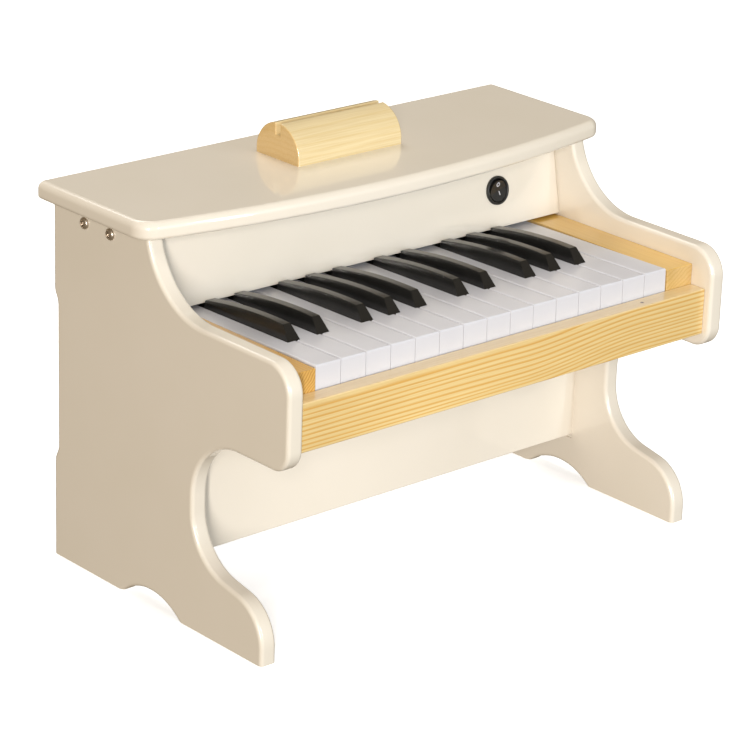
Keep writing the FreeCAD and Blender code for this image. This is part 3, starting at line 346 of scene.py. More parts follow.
# %% The right side, and a groove for the knee panel in both
GROOVE_PLAY, GROOVE_BELOW = 0.3, 3.5
knee_low, knee_high = drawn_box("knee_panel")
groove_low = (knee_low[0] - GROOVE_PLAY, knee_low[1], knee_low[2] - GROOVE_BELOW)
groove_high = (knee_high[0] + GROOVE_PLAY, knee_high[1], knee_high[2])

right_side = twin(left_side)
take_up(right_side)
bpy.ops.transform.translate(value=(SIDE_STEP * MM, 0, 0))
bpy.ops.object.transform_apply(location=True, rotation=True, scale=True)
for board in (left_side, right_side):
    cut_away(board, block(groove_low, groove_high))
settle(left_side, "left_side_board", "case", "cream_paint", "left_side_panel")
settle(right_side, "right_side_board", "case", "cream_paint", "right_side_panel")

# %% [markdown]
# ## Lid
# The lid is straight at the back and bowed at the front. Its plan is drawn in the same way, with
# one very large arc for the bow and a small one at each front corner. A wide round-over runs
# along the front and the ends, where it catches the long highlight. The back, which meets a
# wall, is only broken, so its loop is bevelled last and on its own.

# %% Plan of the lid
UP = (0, 0, 1)
(_, LID_FRONT, _), (LID_HALF, LID_BACK, LID_TOP) = drawn_box("lid_panel")
LID_BOW, LID_CORNER, CORNER_STEP, BOW_STEP = 24.0, 16.0, 5.0, 0.6
bow_radius = (LID_HALF ** 2 + LID_BOW ** 2) / (2 * LID_BOW)
bow_y = LID_FRONT + bow_radius
corner_x = LID_HALF - LID_CORNER
corner_y = bow_y - math.sqrt((bow_radius - LID_CORNER) ** 2 - corner_x ** 2)
bow_half = math.degrees(math.asin(corner_x / (bow_radius - LID_CORNER)))

lid = pencil((-LID_HALF, LID_BACK, LID_Z))
draw_to(LID_HALF, LID_BACK, LID_Z)
draw_to(LID_HALF, corner_y, LID_Z)
draw_round((corner_x, corner_y, LID_Z), bow_half - 90, UP, CORNER_STEP)
draw_round((0, bow_y, LID_Z), -2 * bow_half, UP, BOW_STEP)
draw_round((-corner_x, corner_y, LID_Z), bow_half - 90, UP, CORNER_STEP)
close_and_fill()
thicken((0, 0, LID_TOP - LID_Z))
print("radius of the bow in mm:", round(bow_radius))

# %% Round-overs of the lid
LID_TOP_ROUND, LID_UNDER_ROUND, LID_BACK_ROUND = 5.5, 3.0, 2.5


def at_back(edge):
    """Edges round the back face of the lid."""
    return all(abs(v.co.y / MM - LID_BACK) < NEAR for v in edge.verts)


def front_rim(height):
    """Test for the front and end edges at one height."""
    def wanted(edge):
        return not at_back(edge) and all(abs(v.co.z / MM - height) < NEAR for v in edge.verts)
    return wanted


round_over(front_rim(LID_TOP), LID_TOP_ROUND, segments=8)
round_over(front_rim(LID_Z), LID_UNDER_ROUND, segments=5)
print("back edges:", round_over(at_back, LID_BACK_ROUND, segments=4))
settle(lid, "lid_board", "case", "cream_paint", "lid_panel")

# %% [markdown]
# ## Music holder
# A half-round pine block with a saw cut along its crown takes a card or a folded sheet. Its
# end view is drawn with the cut in it, carried along the block, and its edges are sanded.

# %% End view of the holder
(END_X, holder_front, _), (FAR_END_X, holder_back, _) = drawn_box("music_holder")
HOLDER_LONG, HOLDER_Y = FAR_END_X - END_X, (holder_front + holder_back) / 2
HOLDER_SIDE, HOLDER_RISE, SLOT_HALF, SLOT_DEEP = 6.0, 20.6, 2.3, 9.0
holder_half = HOLDER_Y - holder_front
crown = (holder_half ** 2 + HOLDER_RISE ** 2) / (2 * HOLDER_RISE)
shoulder_z = LID_TOP + HOLDER_SIDE
crown_z = shoulder_z + HOLDER_RISE - crown
crown_turn = math.degrees(math.asin(holder_half / crown) - math.asin(SLOT_HALF / crown))
slot_floor = shoulder_z + HOLDER_RISE - SLOT_DEEP

holder = pencil((END_X, holder_front, LID_TOP))
draw_to(END_X, holder_front, shoulder_z)
draw_round((END_X, HOLDER_Y, crown_z), -crown_turn, ACROSS)
draw_to(END_X, HOLDER_Y - SLOT_HALF, slot_floor)
draw_to(END_X, HOLDER_Y + SLOT_HALF, slot_floor)
draw_to(END_X, HOLDER_Y + SLOT_HALF, crown_z + math.sqrt(crown ** 2 - SLOT_HALF ** 2))
draw_round((END_X, HOLDER_Y, crown_z), -crown_turn, ACROSS)
draw_to(END_X, holder_back, LID_TOP)
close_and_fill()
thicken((HOLDER_LONG, 0, 0))

# %% Sanded edges of the holder
END_ROUND, LIP_ROUND, LIP_ABOVE_FLOOR = 1.6, 0.5, 1.0


def end_edge(edge):
    """Edges round the two ends of the block, above the lid."""
    middle = (edge.verts[0].co + edge.verts[1].co) / 2 / MM
    at_end = min(abs(middle.x - END_X), abs(middle.x - FAR_END_X)) < NEAR
    return is_sharp(edge) and at_end and middle.z > LID_TOP + NEAR


def slot_lip(edge):
    """The two long upper edges of the slot."""
    high_up = min(v.co.z for v in edge.verts) / MM > slot_floor + LIP_ABOVE_FLOOR
    return is_sharp(edge) and high_up and edge.calc_length() > HOLDER_LONG / 2 * MM


print("end edges:", round_over(end_edge, END_ROUND, segments=4))
print("slot lips:", round_over(slot_lip, LIP_ROUND, segments=2))
settle(holder, "music_holder_block", "case", "pine", "music_holder")

# %% [markdown]
# ## Rail, cheek blocks and knee panel
# These are plain planed boards. A cube set to the board's own box is a fair start, and the
# broken edges are what make it read as a piece of timber and not as a block.

# %% Planed boards
RAIL_EDGE, CHEEK_EDGE, KNEE_EDGE = 0.9, 0.6, 0.7


def eased_block(low, high, edge_radius, segments):
    """Block between two corners with all its edges eased."""
    made = block(low, high)
    bpy.ops.object.transform_apply(location=True, rotation=True, scale=True)
    bpy.ops.object.mode_set(mode="EDIT")
    round_over(is_sharp, edge_radius, segments)
    return made


def planed_board(node, name, slot, edge_radius):
    """Board over a CAD node's box, with all its edges eased."""
    low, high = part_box(node)
    settle(eased_block(low / MM, high / MM, edge_radius, segments=3), name, "case", slot, node)


planed_board("front_rail", "front_rail_board", "pine", RAIL_EDGE)
planed_board("left_cheek_block", "left_cheek", "pine", CHEEK_EDGE)
planed_board("right_cheek_block", "right_cheek", "pine", CHEEK_EDGE)
planed_board("knee_panel", "knee_board", "cream_paint", KNEE_EDGE)

# %% [markdown]
# ## Keys and fallboard from their solids
# A key is a hollow moulding with a hinge arm, and all of that is already right in the CAD
# solid. A copy of its mesh is merged, its flat triangles are dissolved into whole faces, and
# only the rims that a finger can feel are bevelled. The originals stay as they are.

# %% A merged copy of a CAD node
MERGE_WITHIN, FLAT_BELOW = 0.002, math.radians(0.3)


def merged_copy(node):
    """Copy of a node's mesh with joined vertices and whole flat faces, left in edit mode."""
    put_down()
    copy = bpy.data.objects.new(node + "_copy", frame["nodes"][node].data.copy())
    bpy.context.scene.collection.objects.link(copy)
    take_up(copy)
    bpy.ops.mesh.customdata_custom_splitnormals_clear()
    bpy.ops.object.mode_set(mode="EDIT")
    bpy.ops.mesh.select_all(action="SELECT")
    bpy.ops.mesh.remove_doubles(threshold=MERGE_WITHIN * MM)
    bpy.ops.mesh.dissolve_limited(angle_limit=FLAT_BELOW)
    return copy


# %% Rims of the white and black keys
KEY_FRONT_Y, KEY_FRONT_Z, KEY_SLOPE = -109.6, 208.1, math.radians(1.17)
TOP_WITHIN, NOSE_WITHIN, CAP_ABOVE = 0.15, 2.2, 0.5


def above_whites(point):
    """Height of a point over the sloping plane of the white key tops, in millimetres."""
    return point.z / MM - (KEY_FRONT_Z - (point.y / MM - KEY_FRONT_Y) * math.tan(KEY_SLOPE))


def white_rim(node):
    """Test for the top edges of a white key and the upright edges of its front."""
    low, high = (corner.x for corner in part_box(node))

    def wanted(edge):
        on_top = all(abs(above_whites(v.co)) < TOP_WITHIN for v in edge.verts)
        nose = all(v.co.y / MM < KEY_FRONT_Y + NOSE_WITHIN for v in edge.verts)
        flank = any(all(abs(v.co.x - x) < NEAR * MM for v in edge.verts) for x in (low, high))
        return is_sharp(edge) and (on_top or nose and flank)
    return wanted


def black_rim(edge):
    """Edges of the raised cap of a black key, above the white tops."""
    return is_sharp(edge) and all(above_whites(v.co) > CAP_ABOVE for v in edge.verts)


# %% White and black keys
WHITE_ROUND, BLACK_ROUND = 0.55, 0.4
key_nodes = sorted(n for n in frame["nodes"] if n.startswith(("white_key_", "black_key_")))
for node in key_nodes:
    key = merged_copy(node)
    if node.startswith("white"):
        round_over(white_rim(node), WHITE_ROUND, segments=3)
        settle(key, node + "_moulding", node, "white_abs", node)
    else:
        round_over(black_rim, BLACK_ROUND, segments=2)
        settle(key, node + "_moulding", node, "black_abs", node)

# %% Fallboard
FALL_ROUND, FALL_WITHIN, LOWER_OVER, UPRIGHT_OVER = 0.8, 0.1, 300, 30
fall = merged_copy("fallboard")
fall_low, fall_high = (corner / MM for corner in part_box("fallboard"))


def fall_edge(edge):
    """Long lower edges of the fallboard, and the upright ones at its two ends."""
    a, b = (v.co / MM for v in edge.verts)
    lower = (a - b).length > LOWER_OVER and max(a.z, b.z) < fall_low.z + FALL_WITHIN
    upright = abs(a.z - b.z) > UPRIGHT_OVER and abs(abs(a.x) - fall_high.x) < FALL_WITHIN
    return is_sharp(edge) and (lower or upright)


print("fallboard edges:", round_over(fall_edge, FALL_ROUND, segments=3))
settle(fall, "fallboard_panel", "case", "cream_paint", "fallboard")

# %% [markdown]
# ## Rocker switch
# A round panel switch: a bezel, a rocker with a crease across its middle, and the two marks
# printed on it. Its own axes are tilted with the fallboard and turned a little in the hole,
# so the marks are made flat at the origin and carried over by one matrix.

# %% The switch's own axes
LEAN, TURN, THROW = math.radians(10.8), math.radians(15), math.radians(8)
SWITCH_X, SWITCH_UP = 129.7, 28.2
_, fall_foot_y, fall_foot_z = drawn_box("fallboard")[0]
switch_point = Vector((SWITCH_X, fall_foot_y + SWITCH_UP * math.sin(LEAN),
                       fall_foot_z + SWITCH_UP * math.cos(LEAN)))
switch_frame = (Matrix.Translation(switch_point * MM) @ Matrix.Rotation(math.pi / 2 - LEAN, 4, "X")
                @ Matrix.Rotation(TURN, 4, "Z"))


def from_axis(edge):
    """Height and radius of an edge's two ends in the switch's own axes, in millimetres."""
    local = [switch_frame.inverted() @ v.co / MM for v in edge.verts]
    return [(point.z, math.hypot(point.x, point.y)) for point in local]


print("middle of the switch in mm:", [round(c, 1) for c in switch_point])

# %% Switch housing and rocker
LIP_OVER, LIP_INSIDE, LIP_SOFT = 1.9, 9.0, 0.9
PADDLE_OVER, PADDLE_OUTSIDE, PADDLE_SOFT = -1.5, 7.0, 0.35


def pocket_lip(edge):
    """Inner rim of the bezel."""
    return is_sharp(edge) and all(z > LIP_OVER and r < LIP_INSIDE for z, r in from_axis(edge))


def paddle_rim(edge):
    """Rim of the rocker's two sloping faces."""
    return is_sharp(edge) and all(z > PADDLE_OVER and r > PADDLE_OUTSIDE for z, r in from_axis(edge))


housing = merged_copy("switch_housing")
print("lip edges:", round_over(pocket_lip, LIP_SOFT, segments=3))
settle(housing, "switch_bezel", "case", "switch_plastic", "switch_housing")
rocker = merged_copy("switch_rocker")
print("rocker rim edges:", round_over(paddle_rim, PADDLE_SOFT, segments=2))
settle(rocker, "switch_paddle", "rocker", "switch_plastic", "switch_rocker")

# %% Printed marks on the rocker
FACE_SLOPE, FACE_RIM_Z, FACE_RIM_R = math.radians(10), 2.6, 8.0
CREASE_Z = FACE_RIM_Z - FACE_RIM_R * math.tan(FACE_SLOPE)
MARK_HIGH, MARK_ASIDE, MARK_LINE = 0.06, 0.6, 0.75
RING_R, RING_UP = 1.75, 4.9
BAR_LONG, BAR_UP, BAR_CORNER = 3.2, -2.3, 0.15


def print_mark(obj, up, name):
    """Thicken a flat mark made at the origin and carry it up or down the rocker's face."""
    bpy.ops.mesh.select_all(action="SELECT")
    thicken((0, 0, MARK_HIGH))
    put_down()
    height = CREASE_Z + abs(up) * math.tan(FACE_SLOPE)
    obj.matrix_world = (switch_frame @ Matrix.Rotation(THROW, 4, "X")
                        @ Matrix.Translation(Vector((MARK_ASIDE, up, height)) * MM)
                        @ Matrix.Rotation(math.copysign(FACE_SLOPE, up), 4, "X"))
    settle(obj, name, "rocker", "switch_plastic")


# %% O mark
put_down()
bpy.ops.mesh.primitive_circle_add(vertices=48, radius=RING_R * MM, fill_type="NGON")
ring_mark = bpy.context.object
bpy.ops.object.mode_set(mode="EDIT")
bpy.ops.mesh.select_all(action="SELECT")
bpy.ops.mesh.inset(thickness=MARK_LINE * MM)
bpy.ops.mesh.delete(type="FACE")
print_mark(ring_mark, RING_UP, "switch_off_mark")

# %% I mark
bpy.ops.mesh.primitive_plane_add(size=1)
bar_mark = bpy.context.object
bar_mark.scale = (MARK_LINE * MM, BAR_LONG * MM, 1)
bpy.ops.object.transform_apply(location=True, rotation=True, scale=True)
bpy.ops.object.mode_set(mode="EDIT")
bpy.ops.mesh.select_all(action="SELECT")
bpy.ops.mesh.bevel(offset=BAR_CORNER * MM, segments=2, affect="VERTICES")
print_mark(bar_mark, BAR_UP, "switch_on_mark")

# %% [markdown]
# ## Side screws
# Two pan-head screws on each side hold the lid's cleats. One is turned up from a cylinder with
# a soft crown and a cross recess. Four copies of it are then joined into one set.

# %% Head and shank of a screw
HEAD_R, HEAD_H, HEAD_CROWN, SHANK_R, SHANK_L = 4.3, 2.3, 2.0, 2.0, 22.0
put_down()
bpy.ops.mesh.primitive_cylinder_add(vertices=48, radius=HEAD_R * MM, depth=HEAD_H * MM,
                                    location=(0, 0, HEAD_H / 2 * MM))
screw = bpy.context.object
bpy.ops.object.transform_apply(location=True, rotation=True, scale=True)
bpy.ops.object.mode_set(mode="EDIT")
pick("FACE", lambda face: face.normal.z < -0.9)
bpy.ops.mesh.inset(thickness=(HEAD_R - SHANK_R) * MM)
bpy.ops.mesh.extrude_region_move(TRANSFORM_OT_translate={"value": (0, 0, -SHANK_L * MM)})


def head_rim(edge):
    """Upper rim of the screw head."""
    return is_sharp(edge) and all(v.co.z > (HEAD_H - NEAR) * MM for v in edge.verts)


print("head rim edges:", round_over(head_rim, HEAD_CROWN, segments=6))

# %% Cross recess
RECESS_HALF, RECESS_SIDE, RECESS_DEEP, RECESS_TURN = 2.5, 0.55, 1.2, 30
for turn in (0, 90):
    cutter = block((-RECESS_HALF, -RECESS_SIDE, HEAD_H - RECESS_DEEP),
                   (RECESS_HALF, RECESS_SIDE, HEAD_H + RECESS_DEEP))
    cutter.rotation_euler.z = math.radians(turn + RECESS_TURN)
    cut_away(screw, cutter)
print("faces of one screw:", len(screw.data.polygons))

# %% Four screws in one set
SCREW_PLACES, SCREW_DROP = (60.5, 89.7), 9.0
screw_set = []
for side in (-1, 1):
    for y in SCREW_PLACES:
        copy = twin(screw)
        copy.matrix_world = (Matrix.Translation(Vector((-side * SIDE_X, y, LID_Z - SCREW_DROP)) * MM)
                             @ Matrix.Rotation(side * math.pi / 2, 4, "Y"))
        screw_set.append(copy)
bpy.data.objects.remove(screw)
take_up(screw_set[0])
for copy in screw_set[1:]:
    copy.select_set(True)
bpy.ops.object.join()
settle(screw_set[0], "side_screw_set", "case", "nickel", "side_screws")

# %% [markdown]
# ## Rubber contacts
# Under the tail of every key a silicone dome pushes it back up. The real ones are moulded in
# one strip. Here each dome is a piece of its own, named after the hinge of its key: one is
# turned from a cone with a soft crown and copied to each place. The places are read from
# the CAD strip, whose highest vertices stand in one group for each dome.

# %% Where the domes stand
STRIP_THICK, DOME_FOOT_R, DOME_CROWN_R, DOME_HIGH, DOME_KEEP = 1.5, 4.5, 3.0, 5.5, 0.73
strip_low, strip_high = [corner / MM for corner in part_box("contact_rubber_strip")]
strip_y, dome_low = (strip_low.y + strip_high.y) / 2, strip_low.z + STRIP_THICK
dome_columns = []
for x in sorted(v.co.x / MM for v in frame["nodes"]["contact_rubber_strip"].data.vertices
                if v.co.z / MM > strip_high.z - NEAR):
    if not dome_columns or x - dome_columns[-1][-1] > DOME_CROWN_R:
        dome_columns.append([])
    dome_columns[-1].append(x)
key_hinges = [joint["name"] for joint in frame["joints"] if "_key_" in joint["name"]]
print("domes:", len(dome_columns), "key hinges:", len(key_hinges))

# %% Contact strip with a dome for each key
STRIP_EDGE, CROWN_EDGE = 0.4, 0.5
contact_strip = eased_block(strip_low, (strip_high.x, strip_high.y, dome_low), STRIP_EDGE, segments=2)
settle(contact_strip, "rubber_contact_base", "case", "silicone", "contact_rubber_strip")

bpy.ops.mesh.primitive_cone_add(vertices=32, radius1=DOME_FOOT_R * MM, radius2=DOME_CROWN_R * MM,
                                depth=DOME_HIGH * MM,
                                location=(0, strip_y * MM, (dome_low + DOME_HIGH / 2) * MM))
dome = bpy.context.object
bpy.ops.object.transform_apply(location=True, rotation=True, scale=True)
bpy.ops.object.mode_set(mode="EDIT")
crown_low = dome_low + DOME_HIGH - NEAR
round_over(lambda edge: all(v.co.z / MM > crown_low for v in edge.verts), CROWN_EDGE, segments=3)
put_down()
for hinge, column in zip(key_hinges, dome_columns):
    copy = twin(dome)
    middle = (column[0] + column[-1]) / 2
    copy.location.x = middle * MM
    settle(copy, "rubber_dome_" + hinge.removesuffix("_hinge"), "case", "silicone")
    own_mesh(copy)
bpy.data.objects.remove(dome)

# %% [markdown]
# ## Finishes
# Every finish starts from what the real surface is. Colours are written as the hex values a
# colour picker shows, and one function turns them into the linear values that light needs.
# One small helper adds a node, sets its values and makes its links.

# %% Colour and node helpers
def linear(hex_colour):
    """sRGB hex to linear RGBA."""
    parts = [int(hex_colour[i:i + 2], 16) / 255 for i in (1, 3, 5)]
    return [p / 12.92 if p <= 0.04045 else ((p + 0.055) / 1.055) ** 2.4 for p in parts] + [1.0]


def wire(tree, node, links=None, inputs=None):
    """Set a node's input values, and link its other inputs."""
    for name, value in (inputs or {}).items():
        node.inputs[name].default_value = value
    for name, socket in (links or {}).items():
        tree.links.new(socket, node.inputs[name])
    return node


def add(tree, kind, links=None, inputs=None, **settings):
    """Add a node with its settings, input values and links."""
    made = tree.nodes.new(kind)
    for name, value in settings.items():
        setattr(made, name, value)
    return wire(tree, made, links, inputs)


def new_finish(name):
    """New material; returns it with its tree, surface shader and object coordinates."""
    made = bpy.data.materials.new(name)
    made.use_nodes = True
    tree = made.node_tree
    place = add(tree, "ShaderNodeTexCoord").outputs["Object"]
    return made, tree, tree.nodes["Principled BSDF"], place


def stops(ramp, *pairs):
    """Set the stops of a colour ramp from (position, hex) pairs."""
    elements = ramp.color_ramp.elements
    while len(elements) < len(pairs):
        elements.new(0.5)
    for element, (position, colour) in zip(elements, pairs):
        element.position = position
        element.color = linear(colour)


def per_mm(size):
    """Noise scale that gives features of about this many millimetres."""
    return 1 / (size * MM)


# %% [markdown]
# Two things that all these surfaces share: no batch of paint or plastic is quite one colour,
# and no skin is quite flat. So a soft cloud mixes two near colours, and a fine noise tips the
# normal a little. Only their sizes and strengths tell one surface from another.

# %% Clouded colour and uneven skin
BUMP_DEEP = 0.1


def clouded(tree, place, size_mm, detail, light, deep):
    """Colour that drifts between two near tones, in clouds of a size in millimetres."""
    cloud = add(tree, "ShaderNodeTexNoise", {"Vector": place},
                {"Scale": per_mm(size_mm), "Detail": detail})
    tint = add(tree, "ShaderNodeValToRGB", {"Fac": cloud.outputs["Fac"]})
    stops(tint, (0.3, deep), (0.7, light))
    return tint.outputs["Color"]


def uneven(tree, place, size_mm, strength):
    """Normal that wavers in a grain or ripple of a size in millimetres."""
    skin = add(tree, "ShaderNodeTexNoise", {"Vector": place},
               {"Scale": per_mm(size_mm), "Detail": 1.0})
    bump = add(tree, "ShaderNodeBump", {"Height": skin.outputs["Fac"]},
               {"Strength": strength, "Distance": BUMP_DEEP * MM})
    return bump.outputs["Normal"]


# %% [markdown]
# Cream paint: sprayed lacquer on fibreboard. It is even in colour, glossy, and shows a faint
# orange peel a few millimetres across, which only ripples the reflections.

# %% Sprayed cream lacquer
CLOUD_MM, PEEL_MM, PEEL = 60, 3.0, 0.02


def sprayed_lacquer(name, light, deep):
    """Glossy sprayed paint under its own clear coat."""
    made, tree, shader, place = new_finish(name)
    wire(tree, shader, {"Base Color": clouded(tree, place, CLOUD_MM, 2.0, light, deep),
                        "Normal": uneven(tree, place, PEEL_MM, PEEL)},
         {"Roughness": 0.35, "IOR": 1.5, "Coat Weight": 1.0, "Coat Roughness": 0.04})
    return made


finish = {"cream_paint": sprayed_lacquer("sprayed_cream_lacquer", "#EBE4D7", "#E9E2D4")}
print("paint:", finish["cream_paint"].name)

# %% [markdown]
# Pine under clear lacquer: pale earlywood that deepens slowly to an amber line and then
# breaks off sharply, once a year. Rings round a heart outside the board give straight lines
# along the grain and slanting ones on its end, so one recipe serves every block. How near
# the heart lies decides whether the lines spread or crowd, and each piece has its own.

# %% Year rings along the grain
RISE_FROM, RISE_TO = 10, 130
SWAY_MM, SWAY_REACH, SWAY_DRAWN_OUT = 12, 4.5, 0.05
WAVE_RADIANS = 20


def year_rings(tree, along, ring_mm, rise_mm):
    """Saw-tooth rings round the grain; rise_mm lifts them towards one end, and they sway."""
    length = add(tree, "ShaderNodeSeparateXYZ", {"Vector": along}).outputs["X"]
    rise = add(tree, "ShaderNodeMapRange", {"Value": length},
               {"From Min": RISE_FROM * MM, "From Max": RISE_TO * MM, "To Max": rise_mm * MM},
               interpolation_type="SMOOTHSTEP")
    lift = add(tree, "ShaderNodeCombineXYZ", {"Z": rise.outputs["Result"]})
    level = add(tree, "ShaderNodeVectorMath", {0: along, 1: lift.outputs["Vector"]},
                operation="SUBTRACT").outputs["Vector"]
    drawn = add(tree, "ShaderNodeMapping", {"Vector": level}, {"Scale": (SWAY_DRAWN_OUT, 1, 1)})
    sway = add(tree, "ShaderNodeTexNoise", {"Vector": drawn.outputs["Vector"]},
               {"Scale": per_mm(SWAY_MM), "Detail": 1.5})
    middle = add(tree, "ShaderNodeVectorMath", {0: sway.outputs["Color"]}, {1: (0.5, 0.5, 0.5)},
                 operation="SUBTRACT")
    shift = add(tree, "ShaderNodeVectorMath", {0: middle.outputs["Vector"]},
                {"Scale": SWAY_REACH * MM}, operation="SCALE")
    bent = add(tree, "ShaderNodeVectorMath", {0: level, 1: shift.outputs["Vector"]}, operation="ADD")
    rings = add(tree, "ShaderNodeTexWave", {"Vector": bent.outputs["Vector"]},
                {"Scale": 2 * math.pi / WAVE_RADIANS / (ring_mm * MM), "Distortion": 0.0},
                wave_type="RINGS", rings_direction="X", wave_profile="SAW")
    return rings.outputs["Fac"]


# %% [markdown]
# Over the rings come the fibres, which are fine streaks that darken the wood a little, and a
# tint on the cut ends. A face that looks up lies almost along the rings and shows few of them,
# so it is calmed towards one top colour. That top colour is also painted light or painted
# shade for how the light falls on the top, so it is partly a calmer figure and partly painted
# light. The rail has one pin knot, a dark spot where a twig grew. The clear coat over it all
# gives the sharp part of the shine.

# %% Lacquered pine
FIBRE_MM, FIBRE_DRAWN_OUT, FIBRE_SHADE, FIBRE_RIDGE = 0.8, 0.02, 0.5, 0.06
KNOT_CORE, KNOT_EDGE = 0.9, 1.7
MIX_FROM, MIX_TO, MIX_RESULT = 6, 7, 2


def lacquered_pine(name, heart, turn, ring_mm, pale, amber, end_grain, sheen, top_with_painted_light,
                   calm_and_painted_light=0.0, rise_mm=0.0, knot=(0, 0, 0)):
    """Pine with its heart and a pin knot at points in mm; turn lays X along the grain."""
    made, tree, shader, place = new_finish(name)
    local = add(tree, "ShaderNodeVectorMath", {0: place}, {1: Vector(heart) * MM}, operation="SUBTRACT")
    along = add(tree, "ShaderNodeMapping", {"Vector": local.outputs["Vector"]},
                {"Rotation": (0, 0, turn)}).outputs["Vector"]
    wood = add(tree, "ShaderNodeValToRGB", {"Fac": year_rings(tree, along, ring_mm, rise_mm)})
    stops(wood, (0.0, pale), (0.5, pale), (0.8, amber), (0.92, amber), (1.0, pale))

    # Faces that look up take the top colour: a calmer figure, with painted light or painted shade in it.
    facing = add(tree, "ShaderNodeTexCoord").outputs["Normal"]
    turned = add(tree, "ShaderNodeMapping", {"Vector": facing}, {"Rotation": (0, 0, turn)})
    across = add(tree, "ShaderNodeSeparateXYZ", {"Vector": turned.outputs["Vector"]})
    painted_top_mask = add(tree, "ShaderNodeMath", {0: across.outputs["Z"]}, {1: calm_and_painted_light},
                 operation="MULTIPLY", use_clamp=True)
    figure_and_painted_top = add(tree, "ShaderNodeMix",
                 {"Factor": painted_top_mask.outputs["Value"], MIX_FROM: wood.outputs["Color"]},
                 {MIX_TO: linear(top_with_painted_light)}, data_type="RGBA")

    streaks = add(tree, "ShaderNodeMapping", {"Vector": along}, {"Scale": (FIBRE_DRAWN_OUT, 1, 1)})
    fibre = add(tree, "ShaderNodeTexNoise", {"Vector": streaks.outputs["Vector"]},
                {"Scale": per_mm(FIBRE_MM), "Detail": 3.0})
    shade = add(tree, "ShaderNodeValToRGB", {"Fac": fibre.outputs["Fac"]})
    stops(shade, (0.3, "#EADFCB"), (0.65, "#FFFFFF"))
    fibrous = add(tree, "ShaderNodeMix",
                  {MIX_FROM: figure_and_painted_top.outputs[MIX_RESULT], MIX_TO: shade.outputs["Color"]},
                  {"Factor": FIBRE_SHADE}, data_type="RGBA", blend_type="MULTIPLY")

    cut_end = add(tree, "ShaderNodeMath", {0: across.outputs["X"]}, operation="ABSOLUTE")
    ended = add(tree, "ShaderNodeMix",
                {"Factor": cut_end.outputs["Value"], MIX_FROM: fibrous.outputs[MIX_RESULT]},
                {MIX_TO: linear(end_grain)}, data_type="RGBA", blend_type="MULTIPLY")
    off_knot = add(tree, "ShaderNodeVectorMath", {0: place}, {1: Vector(knot) * MM}, operation="DISTANCE")
    in_knot = add(tree, "ShaderNodeMapRange", {"Value": off_knot.outputs["Value"]},
                  {"From Min": KNOT_CORE * MM, "From Max": KNOT_EDGE * MM, "To Min": 1.0, "To Max": 0.0})
    knotted = add(tree, "ShaderNodeMix",
                  {"Factor": in_knot.outputs["Result"], MIX_FROM: ended.outputs[MIX_RESULT]},
                  {MIX_TO: linear("#5C3A2A")}, data_type="RGBA")
    ridges = add(tree, "ShaderNodeBump", {"Height": fibre.outputs["Fac"]},
                 {"Strength": FIBRE_RIDGE, "Distance": BUMP_DEEP * MM})
    wire(tree, shader,
         {"Base Color": knotted.outputs[MIX_RESULT], "Normal": ridges.outputs["Normal"]},
         {"Roughness": 0.38, "Coat Weight": 1.0, "Coat Roughness": sheen})
    return made


# %% Four cuts of pine
LENGTHWISE, FRONT_TO_BACK = 0.0, math.pi / 2
# The top colours are painted light on the rail and the right cheek, and painted shade on the left cheek.
pine_rail = lacquered_pine(
    "lacquered_pine_rail", heart=(0, -102.7, 200), turn=LENGTHWISE, ring_mm=2.6,
    pale="#E8CE92", amber="#D9A955", end_grain="#F0E0C8", sheen=0.06,
    top_with_painted_light="#EDD5A6", calm_and_painted_light=0.85, rise_mm=8.0, knot=(132.7, -118.2, 191.3))
pine_holder = lacquered_pine(
    "lacquered_pine_holder", heart=(0, 70, 180), turn=LENGTHWISE, ring_mm=4.2,
    pale="#E4D2A6", amber="#E1CD9D", end_grain="#F6E6CC", sheen=0.05, top_with_painted_light="#E4D2A6")
pine_left = lacquered_pine(
    "lacquered_pine_left_cheek", heart=(-278, 0, 290), turn=FRONT_TO_BACK, ring_mm=2.2,
    pale="#E0B868", amber="#C08A3C", end_grain="#FAF6F0", sheen=0.08, top_with_painted_light="#DCA848", calm_and_painted_light=0.6)
pine_right = lacquered_pine(
    "lacquered_pine_right_cheek", heart=(240, 0, 100), turn=FRONT_TO_BACK, ring_mm=3.0,
    pale="#D6B474", amber="#CDA960", end_grain="#FFFFFF", sheen=0.08, top_with_painted_light="#E8BC58", calm_and_painted_light=0.8)
finish["pine"] = pine_rail
print("pine:", [cut.name for cut in (pine_rail, pine_holder, pine_left, pine_right)])

# %% [markdown]
# The keys are injection-moulded ABS, polished, with a trace of sink-mark waviness in their
# gloss. On the black ones that gloss shows best, as a soft picture of the cream board behind
# them. The other plastics and the bare stuffs inside differ in colour, gloss and grain, so
# one recipe makes them all. A grain too fine to show is drawn half a millimetre across or more.

# %% Moulded, pressed and bare materials
TONE_MM = 25


def moulded(name, light, deep, roughness, grain_mm, grain, ior=1.53):
    """One solid stuff with a skin of fine grain."""
    made, tree, shader, place = new_finish(name)
    wire(tree, shader, {"Base Color": clouded(tree, place, TONE_MM, 2.0, light, deep),
                        "Normal": uneven(tree, place, grain_mm, grain)},
         {"Roughness": roughness, "IOR": ior})
    return made


finish["white_abs"] = moulded("polished_white_abs", "#D9DAE1", "#D6D7DE", 0.2, 6.0, 0.02)
finish["black_abs"] = moulded("polished_black_abs", "#1E1E1D", "#1B1B1A", 0.2, 6.0, 0.02)
# Etched moulds give nylon and polystyrene a dull, grained black, and the marks are dull ink.
finish["switch_plastic"] = moulded("black_nylon", "#1C1C1B", "#181817", 0.42, 0.8, 0.08)
finish["black_moulding"] = moulded("black_polystyrene", "#262626", "#202020", 0.5, 1.0, 0.1)
mark_print = moulded("white_mark_print", "#D8D8DC", "#CFCFD4", 0.5, 0.5, 0.03)
